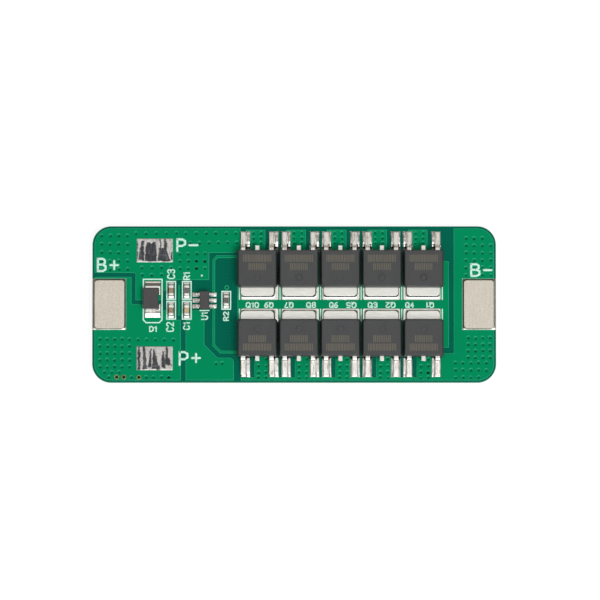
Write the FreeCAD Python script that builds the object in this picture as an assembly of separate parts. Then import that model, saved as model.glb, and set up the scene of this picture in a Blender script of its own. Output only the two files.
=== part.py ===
"""Battery protection board: a two-layer circuit board with ten power transistors in two rows.

The cell connects to the nickel plate at each end and the load to the two tinned pads. A small
controller, with the few parts round it, switches the transistors. Millimetres; +X runs along the
board, +Z is the parts side, and the origin is the centre of the underside.
"""

import FreeCAD
import Part
import math
import os

Vector = FreeCAD.Vector

# Board
board_thickness = 1.60
board_corner_radius = 3.00
copper_thickness = 0.07
solder_film = 0.05

# Transistors: flat moulded packages, leads outwards and tabs towards the middle line
columns = 5
body_width = 6.40
body_length = 6.10
body_height = 2.30
body_corner_cut = 0.30
body_gap = 0.28
mould_draft = 7.5
mould_mark_radius = 0.60
mould_mark_depth = 0.08
mould_mark_offset = 1.45
row_shift = 0.12
tab_width = 5.33
tab_thickness = 0.50
tab_reach = 1.34
tab_inner_length = 4.70
tab_corner_cut = 0.45
lead_width = 0.76
lead_thickness = 0.50
lead_spacing = 4.57
lead_exit_height = 1.02
lead_shoulder = 0.50
lead_reach = 2.85
lead_embed = 0.90
lead_slope = 75.0
stub_reach = 0.70

# Transistor lands
land_creep = 0.15
land_shift = 0.09
lead_land_width = 1.58
lead_land_toe = 0.30
lead_land_heel = 0.25
tab_land_side = 0.31
tab_land_toe = 0.46
tab_land_length = 5.80
centre_strip = 1.44
edge_strip = 0.83

# Battery plates: spot-weldable nickel, soldered flat
plate_width = 4.80
plate_length = 7.75
plate_thickness = 0.30
plate_corner_radius = 0.50
plate_edge_gap = 0.38
plate_land_border = 0.24

# Output pads
pad_width = 5.90
pad_length = 3.90
pad_coat = 0.06
pad_edge_distance = 1.95
pad_shift = 0.64

# Diode
diode_width = 2.50
diode_length = 3.40
diode_height = 1.10
diode_raise = 0.28
diode_parting = 0.45
terminal_width = 1.60
terminal_thickness = 0.20
terminal_reach = 0.62
terminal_embed = 0.60
diode_land_width = 2.60
diode_land_length = 2.25
diode_land_toe = 1.26
diode_slip_x = 0.31
diode_slip_y = 0.12

# Chip capacitors and resistors
chip_length = 1.60
chip_width = 0.80
capacitor_height = 0.80
resistor_height = 0.45
end_cap_length = 0.34
end_cap_wall = 0.03
coat_thickness = 0.03
chip_land_length = 0.85
chip_land_width = 0.95
chip_land_pitch = 1.75
chip_pair_pitch = 3.20

# Controller, three leads a side
controller_width = 1.60
controller_length = 2.90
controller_height = 1.10
controller_lead_pitch = 0.95
controller_lead_width = 0.40
controller_lead_thickness = 0.15
controller_lead_reach = 0.60
controller_lead_embed = 0.30
controller_lead_shoulder = 0.12
controller_exit_height = 0.55
controller_land_length = 1.10
controller_land_width = 0.62

# Gaps between neighbours, from the left end of the board to the right end
plate_to_diode = 2.98
diode_to_chips = 1.64
chips_to_chips = 1.71
chips_to_controller = 1.06
controller_to_resistor = 1.70
resistor_to_transistors = 1.40
transistors_to_plate = 3.33
control_line = 0.64

# Copper under the green mask
copper_edge_margin = 0.32
edge_strip_width = 0.22
channel_width = 0.75
diode_channel_width = 0.62
diode_channel_offset = 1.85
diode_channel_drop = 0.27
diode_side_margin = 0.72
channel_bend = 0.25
plate_side_margin = 0.32
frame_margin = 0.15
negative_pour_overhang = 0.75
output_split_offset = 1.94
middle_pour_cut = 2.10
middle_pour_gap = 0.57
middle_pour_bend = 0.70
gate_channel_width = 0.66
source_channel_offset = 1.30
drain_pour_reach = 1.42
source_pour_start = 2.44
battery_pour_start = 2.30
gate_clearance = 0.60
gate_offset = 2.13
signal_offset = 0.08
trace_width = 0.46
upper_trace_cut = 0.55
lower_trace_cut = 1.10
thin_trace_width = 0.35

# Drilled holes closed by the mask, drawn as hexagonal wells in the copper
well_radius = 0.22
well_margin = 0.05

# White legend
ink_thickness = 0.02
ink_width = 0.19
chip_frame_width = 1.58
chip_frame_length = 3.06
diode_frame_side = 0.30
diode_frame_head = 0.37
diode_frame_tail = 0.90
diode_frame_cut = 0.50
tick_length = 2.10

# Solder
solder_inset = 0.03
solder_wetting = 0.04
lead_solder_rise = 0.30
lead_solder_start = 0.30
lead_foot_start = 0.85
tab_solder_rise = 0.32
plate_solder_rise = 0.14
diode_solder_rise = 0.16
controller_solder_rise = 0.12
chip_solder_share = 0.55

# Fields of drilled holes, each counted inwards from one corner of the board: the first hole's
# distance from both edges, the pitch both ways, and how far the field goes on both ways
well_fields = {
    ("left", "top"): (1.48, 1.53, 1.39, 1.36, 4.17, 5.44),
    ("left", "bottom"): (1.24, 2.50, 1.20, 1.11, 4.80, 4.44),
    ("right", "top"): (0.85, 1.95, 1.32, 1.18, 3.96, 5.90),
    ("right", "bottom"): (0.97, 4.06, 1.18, 1.04, 3.54, 3.12),
}

# Lengths below this count as none
smallest_length = 0.000001

# Heights of the stack
laminate_top = board_thickness - copper_thickness
copper_top = board_thickness
seat = copper_top + solder_film

# Places across the board, worked out from the parts
column_pitch = body_width + body_gap
land_pitch = column_pitch - land_creep
row_length = columns * body_width + (columns - 1) * body_gap
row_line = centre_strip / 2 + tab_land_toe + tab_reach + body_length / 2
land_end_line = row_line + body_length / 2 + lead_reach + lead_land_toe
board_width = 2 * (land_end_line + edge_strip)

# Places along the board, counted from the left end
controller_span = controller_width + 2 * controller_lead_reach
plate_inner = plate_edge_gap + plate_width
diode_place = plate_inner + plate_to_diode + diode_width / 2
first_chips_place = diode_place + diode_width / 2 + diode_to_chips + chip_width / 2
second_chips_place = first_chips_place + chip_width + chips_to_chips
controller_place = second_chips_place + chip_width / 2 + chips_to_controller + controller_span / 2
current_resistor_place = controller_place + controller_span / 2 + controller_to_resistor + chip_width / 2
row_start = current_resistor_place + chip_width / 2 + resistor_to_transistors
board_length = row_start + row_length + transistors_to_plate + plate_inner

# The same places in the part's own frame
left = -board_length / 2
right = board_length / 2
top = board_width / 2
bottom = -board_width / 2
plate_x = right - plate_edge_gap - plate_width / 2
diode_x = left + diode_place
diode_y = control_line + diode_raise
diode_land_x = diode_x + diode_slip_x
diode_land_y = diode_y - diode_slip_y
diode_land_end = diode_length / 2 + diode_land_toe
first_chips_x = left + first_chips_place
second_chips_x = left + second_chips_place
controller_x = left + controller_place
row_left = left + row_start
row_right = row_left + row_length
row_centre = (row_left + row_right) / 2
pad_x = diode_x + pad_shift
pad_y = top - pad_edge_distance - pad_length / 2
upper_chips_y = control_line + chip_pair_pitch / 2
lower_chips_y = control_line - chip_pair_pitch / 2
chip_places = {
    "capacitor_1": (second_chips_x, lower_chips_y),
    "capacitor_2": (first_chips_x, lower_chips_y),
    "capacitor_3": (first_chips_x, upper_chips_y),
    "resistor_1": (second_chips_x, upper_chips_y),
    "resistor_2": (left + current_resistor_place, control_line),
}


# Outlines and solids
def rounded_wire(corners):
    """Closed outline through (x, y, radius) corners: straight runs joined by tangent arcs."""
    arcs = []
    for index, (x, y, radius) in enumerate(corners):
        corner = Vector(x, y, 0)
        before = Vector(*corners[index - 1][:2], 0)
        after = Vector(*corners[(index + 1) % len(corners)][:2], 0)
        back = (before - corner).normalize()
        onward = (after - corner).normalize()
        half_angle = back.getAngle(onward) / 2
        reach = radius / math.tan(half_angle)
        middle = corner
        if radius > 0:
            inward = (back + onward).normalize()
            middle = corner + inward * (radius / math.sin(half_angle) - radius)
        arcs.append((corner + back * reach, middle, corner + onward * reach))
    edges = []
    for index, (start, middle, end) in enumerate(arcs):
        if start.distanceToPoint(end) > smallest_length:
            edges.append(Part.Arc(start, middle, end).toShape())
        next_start = arcs[(index + 1) % len(arcs)][0]
        if end.distanceToPoint(next_start) > smallest_length:
            edges.append(Part.LineSegment(end, next_start).toShape())
    return Part.Wire(edges)


def rectangle(x_low, x_high, y_low, y_high, radius=0.0):
    return [
        (x_low, y_low, radius),
        (x_high, y_low, radius),
        (x_high, y_high, radius),
        (x_low, y_high, radius),
    ]


def centred(x, y, x_size, y_size, radius=0.0):
    return rectangle(x - x_size / 2, x + x_size / 2, y - y_size / 2, y + y_size / 2, radius)


def strip_corners(path, width, bend_radius=0.0):
    """Corners of an even strip along an open path, its bends round outside and sharp inside."""
    half = width / 2
    points = [Vector(x, y, 0) for x, y in path]
    runs = [(b - a).normalize() for a, b in zip(points, points[1:])]
    sides = {1: [], -1: []}
    for index, point in enumerate(points):
        before = runs[max(index - 1, 0)]
        after = runs[min(index, len(runs) - 1)]
        normal = Vector(-before.y, before.x, 0)
        mitre = (normal + Vector(-after.y, after.x, 0)).normalize()
        turn = before.cross(after).z
        for side, found in sides.items():
            place = point + mitre * (side * half / mitre.dot(normal))
            outside = turn * side < -smallest_length
            found.append((place.x, place.y, bend_radius if outside else 0.0))
    return sides[1] + sides[-1][::-1]


def flat(corners, height=0.0):
    wire = rounded_wire(corners)
    wire.translate(Vector(0, 0, height))
    return Part.Face(wire)


def slab(corners, low, high):
    """Flat plate with the outline of the corners, between two heights."""
    return flat(corners, low).extrude(Vector(0, 0, high - low))


def frustum(lower_corners, low, upper_corners, high):
    """Solid between two outlines with parallel edges, so that each side of it is flat."""
    lower = [Vector(x, y, low) for x, y, _ in lower_corners]
    upper = [Vector(x, y, high) for x, y, _ in upper_corners]
    rings = [lower, upper]
    for index in range(len(lower)):
        onward = (index + 1) % len(lower)
        rings.append([lower[index], lower[onward], upper[onward], upper[index]])
    faces = [Part.Face(Part.makePolygon(ring + ring[:1])) for ring in rings]
    return Part.makeSolid(Part.makeShell(faces))


def upright_strip(path, thickness, width, bend_radius=0.0):
    """Bent strip whose path is given as (y, z) points, centred on X."""
    strip = flat(strip_corners(path, thickness, bend_radius)).extrude(Vector(0, 0, width))
    strip.rotate(Vector(0, 0, 0), Vector(1, 1, 1), 120)
    strip.translate(Vector(-width / 2, 0, 0))
    return strip


def moved(shape, x, y, turned=False, lift=0.0):
    """Copy of a part made about the origin, turned end for end if asked, then put in place."""
    copy = shape.copy()
    if turned:
        copy.rotate(Vector(0, 0, 0), Vector(0, 0, 1), 180)
    copy.translate(Vector(x, y, lift))
    return copy


def moulded_body(width, length, height, parting, corner_cut=0.0):
    """Moulded package that tapers both ways from its parting line, with two cut corners."""

    def outline(inset):
        x = width / 2 - inset
        y = length / 2 - inset
        if corner_cut == 0:
            return rectangle(-x, x, -y, y)
        return [
            (-x + corner_cut, -y, 0),
            (x - corner_cut, -y, 0),
            (x, -y + corner_cut, 0),
            (x, y, 0),
            (-x, y, 0),
            (-x, -y + corner_cut, 0),
        ]

    slope = math.tan(math.radians(mould_draft))
    lower = frustum(outline(parting * slope), 0, outline(0), parting)
    upper = frustum(outline(0), parting, outline((height - parting) * slope), height)
    return lower.fuse(upper)


def gull_wing_lead(start, shoulder, tip, exit_height, width, thickness, bend_radius):
    """Formed lead that leaves along +Y, steps down and runs flat on its foot."""
    drop = exit_height - thickness / 2
    heel = shoulder + drop / math.tan(math.radians(lead_slope))
    path = [(start, exit_height), (shoulder, exit_height), (heel, thickness / 2), (tip, thickness / 2)]
    return upright_strip(path, thickness, width, bend_radius)


# One transistor, made about its body's centre with its leads towards +Y
def transistor_leads():
    edge = body_length / 2
    lead = gull_wing_lead(
        edge - lead_embed,
        edge + lead_shoulder,
        edge + lead_reach,
        lead_exit_height,
        lead_width,
        lead_thickness,
        lead_thickness,
    )
    return [moved(lead, side * lead_spacing / 2, 0) for side in (-1, 1)]


def transistor_tab():
    """Drain tab: the plate under the die, the strip that rises from it and the cut-off stub."""
    outer = -body_length / 2 - tab_reach
    inner = -body_length / 2 + tab_inner_length
    half = tab_width / 2
    plate = slab(
        [
            (-half + tab_corner_cut, outer, 0),
            (half - tab_corner_cut, outer, 0),
            (half, outer + tab_corner_cut, 0),
            (half, inner, 0),
            (-half, inner, 0),
            (-half, outer + tab_corner_cut, 0),
        ],
        0,
        tab_thickness,
    )
    middle = tab_thickness / 2
    rise_start = inner - tab_thickness
    rise_end = rise_start + (lead_exit_height - middle)
    path = [
        (rise_start - tab_thickness, middle),
        (rise_start, middle),
        (rise_end, lead_exit_height),
        (body_length / 2 + stub_reach, lead_exit_height),
    ]
    return plate.fuse(upright_strip(path, tab_thickness, lead_width)).removeSplitter()


def transistor_body(tab, leads):
    parting = lead_exit_height - lead_thickness / 2
    body = moulded_body(body_width, body_length, body_height, parting, body_corner_cut)
    mark = Part.makeCylinder(
        mould_mark_radius,
        mould_mark_depth,
        Vector(0, -mould_mark_offset, body_height - mould_mark_depth),
    )
    return body.cut([mark, tab] + leads)


def transistor_places():
    """Row, column and place of each transistor: upper row first, left to right."""
    places = []
    for row in (1, -1):
        for column in range(columns):
            x = row_left + body_width / 2 + column * column_pitch
            places.append((row, column, x, row * row_line + row_shift))
    return places


# Lands: the tinned copper that each part is soldered to
def land_centre(column):
    return row_centre + land_shift + (column - (columns - 1) / 2) * land_pitch


def lead_land(column, side, row):
    x = land_centre(column) + side * lead_spacing / 2
    inner = row_line + body_length / 2 - lead_land_heel
    ends = sorted((row * inner, row * land_end_line))
    return rectangle(x - lead_land_width / 2, x + lead_land_width / 2, *ends)


def tab_land(column, row):
    x = land_centre(column)
    half = tab_width / 2 + tab_land_side
    ends = sorted((row * centre_strip / 2, row * (centre_strip / 2 + tab_land_length)))
    return rectangle(x - half, x + half, *ends)


def plate_land(side):
    """Land under a battery plate; it runs out to the end of the board."""
    inner = plate_x - plate_width / 2 - plate_land_border
    half = plate_length / 2 + plate_land_border
    return rectangle(*sorted((side * inner, side * right)), -half, half)


def chip_lands(x, y):
    return [
        centred(x, y + end * chip_land_pitch / 2, chip_land_width, chip_land_length)
        for end in (-1, 1)
    ]


def diode_lands():
    """Lands wider and longer than the diode, which sits a little off their middle."""
    middle = diode_land_end - diode_land_length / 2
    return [
        centred(diode_land_x, diode_land_y + end * middle, diode_land_width, diode_land_length)
        for end in (-1, 1)
    ]


def controller_feet():
    """Side and place along Y of each of the controller's feet."""
    steps = (-1, 0, 1)
    return [(side, control_line + step * controller_lead_pitch) for side in (-1, 1) for step in steps]


def controller_land(side, y):
    x = controller_x + side * controller_span / 2
    return centred(x, y, controller_land_length, controller_land_width)


def all_lands():
    lands = []
    for row, column, _, _ in transistor_places():
        lands.append(tab_land(column, row))
        lands += [lead_land(column, side, row) for side in (-1, 1)]
    for x, y in chip_places.values():
        lands += chip_lands(x, y)
    lands += diode_lands()
    lands += [controller_land(side, y) for side, y in controller_feet()]
    lands += [plate_land(side) for side in (-1, 1)]
    return lands


def output_pads():
    """Negative pad, then positive pad."""
    return [centred(pad_x, side * pad_y, pad_width, pad_length) for side in (1, -1)]


# Copper pours and traces
edge_left = left + copper_edge_margin
edge_right = right - copper_edge_margin
edge_top = top - copper_edge_margin
edge_bottom = bottom + copper_edge_margin
edge_bend = board_corner_radius - copper_edge_margin
plate_land_top = plate_length / 2 + plate_land_border
chips_top = upper_chips_y + chip_frame_length / 2 + frame_margin
chips_bottom = lower_chips_y - chip_frame_length / 2
diode_channel_x = diode_x - diode_width / 2 - diode_channel_offset
diode_channel_top = diode_y - diode_channel_drop
diode_side_x = diode_x + diode_width / 2 + diode_side_margin
first_frame_x = first_chips_x - chip_frame_width / 2
plate_side = plate_land_top + plate_side_margin
output_split_x = first_chips_x + output_split_offset
signal_x = controller_x + controller_span / 2 + signal_offset
gate_line = row_line + gate_offset
source_channel_x = row_right + source_channel_offset
half_channel = channel_width / 2
first_land_side = land_centre(0) - lead_spacing / 2 - lead_land_width / 2


def output_negative_pour():
    lower = plate_side + diode_channel_width
    channel_side = diode_channel_x + diode_channel_width
    gate_side = gate_line + trace_width / 2 + half_channel
    pour_end = controller_x + negative_pour_overhang
    return [
        (edge_left, lower, 0),
        (channel_side, lower, channel_bend),
        (channel_side, diode_channel_top, 0),
        (diode_side_x, diode_channel_top, 0),
        (diode_side_x, upper_chips_y, 0),
        (first_frame_x, upper_chips_y, 0),
        (first_frame_x, chips_top, 0),
        (pour_end, chips_top, 0),
        (pour_end, gate_side, 0),
        (first_land_side, gate_side, 0),
        (first_land_side, edge_top, 0),
        (edge_left, edge_top, edge_bend),
    ]


def output_positive_pour():
    upper = diode_channel_top - diode_channel_width
    return [
        (edge_left, edge_bottom, edge_bend),
        (output_split_x - half_channel, edge_bottom, 0),
        (output_split_x - half_channel, chips_bottom, 0),
        (first_frame_x, chips_bottom, 0),
        (first_frame_x, lower_chips_y, 0),
        (diode_side_x, lower_chips_y, 0),
        (diode_side_x, upper, 0),
        (diode_channel_x, upper, channel_bend),
        (diode_channel_x, plate_side, 0),
        (edge_left, plate_side, 0),
    ]


def middle_pour():
    pour_right = row_left - middle_pour_gap
    pour_left = output_split_x + half_channel
    gate_side = -gate_line - trace_width / 2 - gate_channel_width
    controller_side = control_line - controller_length / 2 - frame_margin
    chips_side = second_chips_x + chip_frame_width / 2
    return [
        (pour_left, edge_bottom, 0),
        (pour_right, edge_bottom, 0),
        (pour_right, gate_side, middle_pour_bend),
        (controller_x + middle_pour_cut, gate_side, 0),
        (controller_x, gate_side + middle_pour_cut, 0),
        (controller_x, controller_side, 0),
        (chips_side, controller_side, 0),
        (chips_side, chips_bottom, 0),
        (pour_left, chips_bottom, 0),
    ]


def drain_pour():
    reach = row_line + drain_pour_reach
    return rectangle(row_left, source_channel_x - half_channel, -reach, reach)


def battery_negative_pour():
    under_row = -row_line - battery_pour_start
    last_lead = land_centre(columns - 1) + lead_spacing / 2
    return [
        (first_land_side, edge_bottom, 0),
        (edge_right, edge_bottom, edge_bend),
        (edge_right, edge_top, edge_bend),
        (source_channel_x + half_channel, edge_top, 0),
        (source_channel_x + half_channel, under_row, 0),
        (last_lead, under_row, 0),
        (last_lead, -land_end_line, 0),
        (first_land_side, -land_end_line, 0),
    ]


def source_pours():
    """Copper beside each source lead, clear of the gate land of the same transistor."""
    inner = row_line + source_pour_start
    half_span = lead_spacing / 2
    gate_side = half_span - lead_land_width / 2 - gate_clearance
    pours = []
    for column in range(columns):
        x = land_centre(column)
        pours.append(rectangle(x - half_span, x + gate_side, inner, edge_top - edge_strip_width))
        pours.append(rectangle(x - gate_side, x + half_span, edge_bottom, -inner))
    return pours


def traces():
    """The two gate traces from the controller's right feet, and the link between the chips."""
    under_body = row_left + body_width / 2
    upper_gate = [
        (under_body, gate_line),
        (signal_x + upper_trace_cut, gate_line),
        (signal_x, gate_line - upper_trace_cut),
        (signal_x, control_line + controller_lead_pitch),
    ]
    lower_gate = [
        (signal_x, control_line - controller_lead_pitch),
        (signal_x, -gate_line + lower_trace_cut),
        (signal_x + lower_trace_cut, -gate_line),
        (under_body, -gate_line),
    ]
    link_x = (first_chips_x + second_chips_x) / 2
    link = [
        (link_x, upper_chips_y + chip_land_pitch / 2),
        (link_x, lower_chips_y - chip_land_pitch / 2),
    ]
    return [
        strip_corners(upper_gate, trace_width),
        strip_corners(lower_gate, trace_width),
        strip_corners(link, thin_trace_width),
    ]


# Drilled holes that tie the two copper layers together
def well_places():
    places = []
    for (x_end, y_end), (x_first, y_first, x_pitch, y_pitch, x_span, y_span) in well_fields.items():
        x_side = 1 if x_end == "right" else -1
        y_side = 1 if y_end == "top" else -1
        for j in range(round(y_span / y_pitch) + 1):
            for i in range(round(x_span / x_pitch) + 1):
                x = x_side * (right - x_first - i * x_pitch)
                y = y_side * (top - y_first - j * y_pitch)
                places.append((x, y))
    return places


def well(place):
    """Hexagon round a drilled hole's place."""
    corners = []
    for index in range(6):
        angle = math.radians(60 * index)
        x = place[0] + well_radius * math.cos(angle)
        y = place[1] + well_radius * math.sin(angle)
        corners.append(Vector(x, y, 0))
    return Part.makePolygon(corners + corners[:1])


def with_wells(face, places):
    """The face with a hexagonal opening at each place that lies well inside it."""
    wells = []
    for place in places:
        point = Vector(*place, 0)
        vertex = Part.Vertex(point)
        inside = face.isInside(point, smallest_length, True)
        if inside and min(w.distToShape(vertex)[0] for w in face.Wires) > well_radius + well_margin:
            wells.append(well(place))
    return Part.makeFace(face.Wires + wells, "Part::FaceMakerBullseye")


def top_copper(lands):
    outlines = [output_negative_pour(), output_positive_pour(), middle_pour()]
    outlines += [drain_pour(), battery_negative_pour()]
    outlines += source_pours() + traces()
    pours = [flat(corners) for corners in outlines]
    openings = [flat(corners) for corners in lands + output_pads()]
    copper = pours[0].fuse(pours[1:]).cut(openings).removeSplitter()
    places = well_places()
    islands = []
    for face in copper.Faces:
        island = with_wells(face, places).extrude(Vector(0, 0, copper_thickness))
        island.translate(Vector(0, 0, laminate_top))
        islands.append(island)
    return islands


def bottom_copper():
    """Three pours on the underside: the load's negative, the cell's positive and negative."""
    left_end = source_channel_x - half_channel
    right_start = source_channel_x + half_channel
    pours = [
        [
            (edge_left, half_channel, 0),
            (left_end, half_channel, 0),
            (left_end, edge_top, 0),
            (edge_left, edge_top, edge_bend),
        ],
        [
            (edge_left, edge_bottom, edge_bend),
            (output_split_x - half_channel, edge_bottom, 0),
            (output_split_x - half_channel, -half_channel, 0),
            (edge_left, -half_channel, 0),
        ],
        [
            (output_split_x + half_channel, edge_bottom, 0),
            (edge_right, edge_bottom, edge_bend),
            (edge_right, edge_top, edge_bend),
            (right_start, edge_top, 0),
            (right_start, -half_channel, 0),
            (output_split_x + half_channel, -half_channel, 0),
        ],
    ]
    return [slab(corners, 0, copper_thickness) for corners in pours]


def laminate(lower_copper):
    """Glass-fibre board; the copper of the underside lies flush in its mask."""
    return slab(rectangle(left, right, bottom, top, board_corner_radius), 0, laminate_top).cut(lower_copper)


# Solder
def solder_joint(land, foot, rise, wetted):
    """Fillet from a land's edge up to a foot, less the pieces that it wets."""
    x_low, x_high = land[0][0] + solder_inset, land[1][0] - solder_inset
    y_low, y_high = land[0][1] + solder_inset, land[2][1] - solder_inset
    upper = rectangle(
        max(foot[0] - solder_wetting, x_low + solder_inset),
        min(foot[1] + solder_wetting, x_high - solder_inset),
        max(foot[2] - solder_wetting, y_low + solder_inset),
        min(foot[3] + solder_wetting, y_high - solder_inset),
    )
    lower = rectangle(x_low, x_high, y_low, y_high)
    return frustum(lower, copper_top, upper, seat + rise).cut(wetted)


def lead_joints(places, leads):
    """Solder round each lead's foot."""
    edge = row_line + body_length / 2
    joints = []
    for (row, column, x, _), pair in zip(places, leads):
        for side, lead in zip((-row, row), pair):
            land = lead_land(column, side, row)
            land_ends = sorted((row * (edge + lead_solder_start), row * land_end_line))
            land = rectangle(land[0][0], land[1][0], *land_ends)
            foot_ends = sorted((row * (edge + lead_foot_start), row * (edge + lead_reach)))
            foot_x = x + side * lead_spacing / 2
            foot = (foot_x - lead_width / 2, foot_x + lead_width / 2, *foot_ends)
            joints.append(solder_joint(land, foot, lead_solder_rise, [lead]))
    return joints


def tab_joints(places, bodies, tabs):
    """Solder film under each tab and the fillet along the part of it that stands out."""
    joints = []
    for (row, column, x, y), body, tab in zip(places, bodies, tabs):
        land = tab_land(column, row)
        film = slab(land, copper_top, seat)
        body_edge = y - row * body_length / 2
        front_ends = sorted((body_edge, row * centre_strip / 2))
        front = rectangle(land[0][0], land[1][0], *front_ends)
        foot_ends = sorted((body_edge, body_edge - row * tab_reach))
        foot = (x - tab_width / 2, x + tab_width / 2, *foot_ends)
        fillet = solder_joint(front, foot, tab_solder_rise, [tab])
        joints.append(film.fuse(fillet).cut([tab, body]).removeSplitter())
    return joints


def chip_joints(place, height, wetted):
    joints = []
    for land, end in zip(chip_lands(*place), (-1, 1)):
        outer = place[1] + end * chip_length / 2
        foot_ends = sorted((outer, outer - end * end_cap_length))
        foot = (place[0] - chip_width / 2, place[0] + chip_width / 2, *foot_ends)
        joints.append(solder_joint(land, foot, chip_solder_share * height, wetted))
    return joints


def diode_joints(body, terminals):
    """Solder over the whole of both lands, so that it shows beside the body too."""
    joints = []
    for land, end, terminal in zip(diode_lands(), (-1, 1), terminals):
        body_edge = diode_y + end * diode_length / 2
        foot_ends = sorted((body_edge, body_edge + end * terminal_reach))
        foot = (diode_x - terminal_width / 2, diode_x + terminal_width / 2, *foot_ends)
        joints.append(solder_joint(land, foot, diode_solder_rise, [terminal, body]))
    return joints


def controller_joints(leads):
    joints = []
    half = controller_lead_width / 2
    for (side, y), lead in zip(controller_feet(), leads):
        tip = controller_x + side * controller_span / 2
        foot_ends = sorted((tip - side * controller_lead_reach / 2, tip))
        foot = (*foot_ends, y - half, y + half)
        joints.append(solder_joint(controller_land(side, y), foot, controller_solder_rise, [lead]))
    return joints


def plate_joint(side, plate):
    """Bead of solder round a battery plate and the film under it."""
    centre = side * plate_x
    foot = (centre - plate_width / 2, centre + plate_width / 2, -plate_length / 2, plate_length / 2)
    return solder_joint(plate_land(side), foot, plate_solder_rise, [plate])


# Small parts, made in place
def chip_ends(x, y, height, filling):
    """The two metal caps of a chip, less what they hold."""
    caps = []
    for end in (-1, 1):
        centre = y + end * (chip_length - end_cap_length) / 2
        cap = slab(centred(x, centre, chip_width, end_cap_length), seat, seat + height)
        caps.append(cap.cut(filling))
    return caps


def chip_capacitor(x, y):
    block = slab(
        centred(x, y, chip_width - 2 * end_cap_wall, chip_length - 2 * end_cap_wall),
        seat + end_cap_wall,
        seat + capacitor_height - end_cap_wall,
    )
    return {"block": [block], "end_caps": chip_ends(x, y, capacitor_height, [block])}


def chip_resistor(x, y):
    """Ceramic chip with its resistive film under a dark coat between the caps."""
    low = seat + end_cap_wall
    high = seat + resistor_height - end_cap_wall
    substrate = slab(centred(x, y, chip_width, chip_length - 2 * end_cap_wall), low, high)
    coat_length = chip_length - 2 * end_cap_length
    coat = slab(centred(x, y, chip_width - 2 * end_cap_wall, coat_length), high, high + coat_thickness)
    caps = chip_ends(x, y, resistor_height, [substrate])
    return {"substrate": [substrate], "coat": [coat], "end_caps": caps}


def diode():
    body = moulded_body(diode_width, diode_length, diode_height, diode_parting)
    terminals = []
    for end in (-1, 1):
        inner = diode_length / 2 - terminal_embed
        outer = diode_length / 2 + terminal_reach
        ends = sorted((end * inner, end * outer))
        outline = rectangle(-terminal_width / 2, terminal_width / 2, *ends)
        terminals.append(slab(outline, 0, terminal_thickness))
    place = (diode_x, diode_y, False, seat)
    return moved(body.cut(terminals), *place), [moved(shape, *place) for shape in terminals]


def controller():
    body = moulded_body(controller_width, controller_length, controller_height, controller_exit_height)
    edge = controller_width / 2
    lead = gull_wing_lead(
        edge - controller_lead_embed,
        edge + controller_lead_shoulder,
        edge + controller_lead_reach,
        controller_exit_height,
        controller_lead_width,
        controller_lead_thickness,
        0.0,
    )
    leads = []
    for side, y in controller_feet():
        one = lead.copy()
        one.rotate(Vector(0, 0, 0), Vector(0, 0, 1), -90 * side)
        one.translate(Vector(0, y - control_line, 0))
        leads.append(one)
    place = (controller_x, control_line, False, seat)
    return moved(body.cut(leads), *place), [moved(shape, *place) for shape in leads]


def battery_plate(side):
    outline = centred(side * plate_x, 0, plate_width, plate_length, plate_corner_radius)
    return slab(outline, seat, seat + plate_thickness)


# White legend: the lines that frame the parts
def ink(corners):
    return slab(corners, laminate_top, copper_top + ink_thickness)


def frame(outer, inner):
    return ink(outer).cut(ink(inner))


def chip_frame(x, y):
    outer = centred(x, y, chip_frame_width, chip_frame_length)
    inner = centred(x, y, chip_frame_width - 2 * ink_width, chip_frame_length - 2 * ink_width)
    return frame(outer, inner)


def diode_frame():
    """Frame round the diode, its lower corners cut to show which way it faces."""

    def outline(inset):
        x = diode_land_width / 2 + diode_frame_side - inset
        low = diode_land_y - diode_land_end - diode_frame_tail + inset
        high = diode_land_y + diode_land_end + diode_frame_head - inset
        cut = diode_frame_cut - inset / 2
        return [
            (diode_land_x - x + cut, low, 0),
            (diode_land_x + x - cut, low, 0),
            (diode_land_x + x, low + cut, 0),
            (diode_land_x + x, high, 0),
            (diode_land_x - x, high, 0),
            (diode_land_x - x, low + cut, 0),
        ]

    return frame(outline(0), outline(ink_width))


def tab_ticks():
    """Short lines between neighbouring tabs and at both ends of each row."""
    ticks = []
    for row in (-1, 1):
        for column in range(columns + 1):
            x = land_centre(column) - land_pitch / 2
            ends = sorted((row * centre_strip / 2, row * (centre_strip / 2 + tick_length)))
            ticks.append(ink(rectangle(x - ink_width / 2, x + ink_width / 2, *ends)))
    return ticks


def legend(copper, lands):
    shapes = [chip_frame(x, y) for x, y in chip_places.values()]
    shapes.append(diode_frame())
    shapes += tab_ticks()
    line_y = control_line - controller_length / 2 - ink_width
    shapes.append(ink(centred(controller_x, line_y, controller_width, ink_width)))
    land_slabs = [slab(corners, laminate_top, seat) for corners in lands]
    return [shape.cut(copper + land_slabs) for shape in shapes]


def save(name, shapes):
    """One file for each node; a node of several like pieces keeps them as separate solids."""
    solids = []
    for shape in shapes:
        solids += shape.Solids
    compound = solids[0] if len(solids) == 1 else Part.makeCompound(solids)
    compound.exportStep(os.path.join("parts", name + ".step"))


def save_board():
    lands = all_lands()
    copper = top_copper(lands)
    lower_copper = bottom_copper()
    save("laminate", [laminate(lower_copper)])
    save("top_copper", copper)
    save("bottom_copper", lower_copper)
    save("solder_lands", [slab(corners, laminate_top, copper_top) for corners in lands])
    save("legend_outlines", legend(copper, lands))


def save_terminals():
    plates = {side: battery_plate(side) for side in (-1, 1)}
    save("battery_positive_plate", [plates[-1]])
    save("battery_negative_plate", [plates[1]])
    save("plate_solder", [plate_joint(side, plate) for side, plate in plates.items()])
    for polarity, outline in zip(("negative", "positive"), output_pads()):
        save("output_" + polarity + "_pad", [slab(outline, laminate_top, copper_top + pad_coat)])


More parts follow.
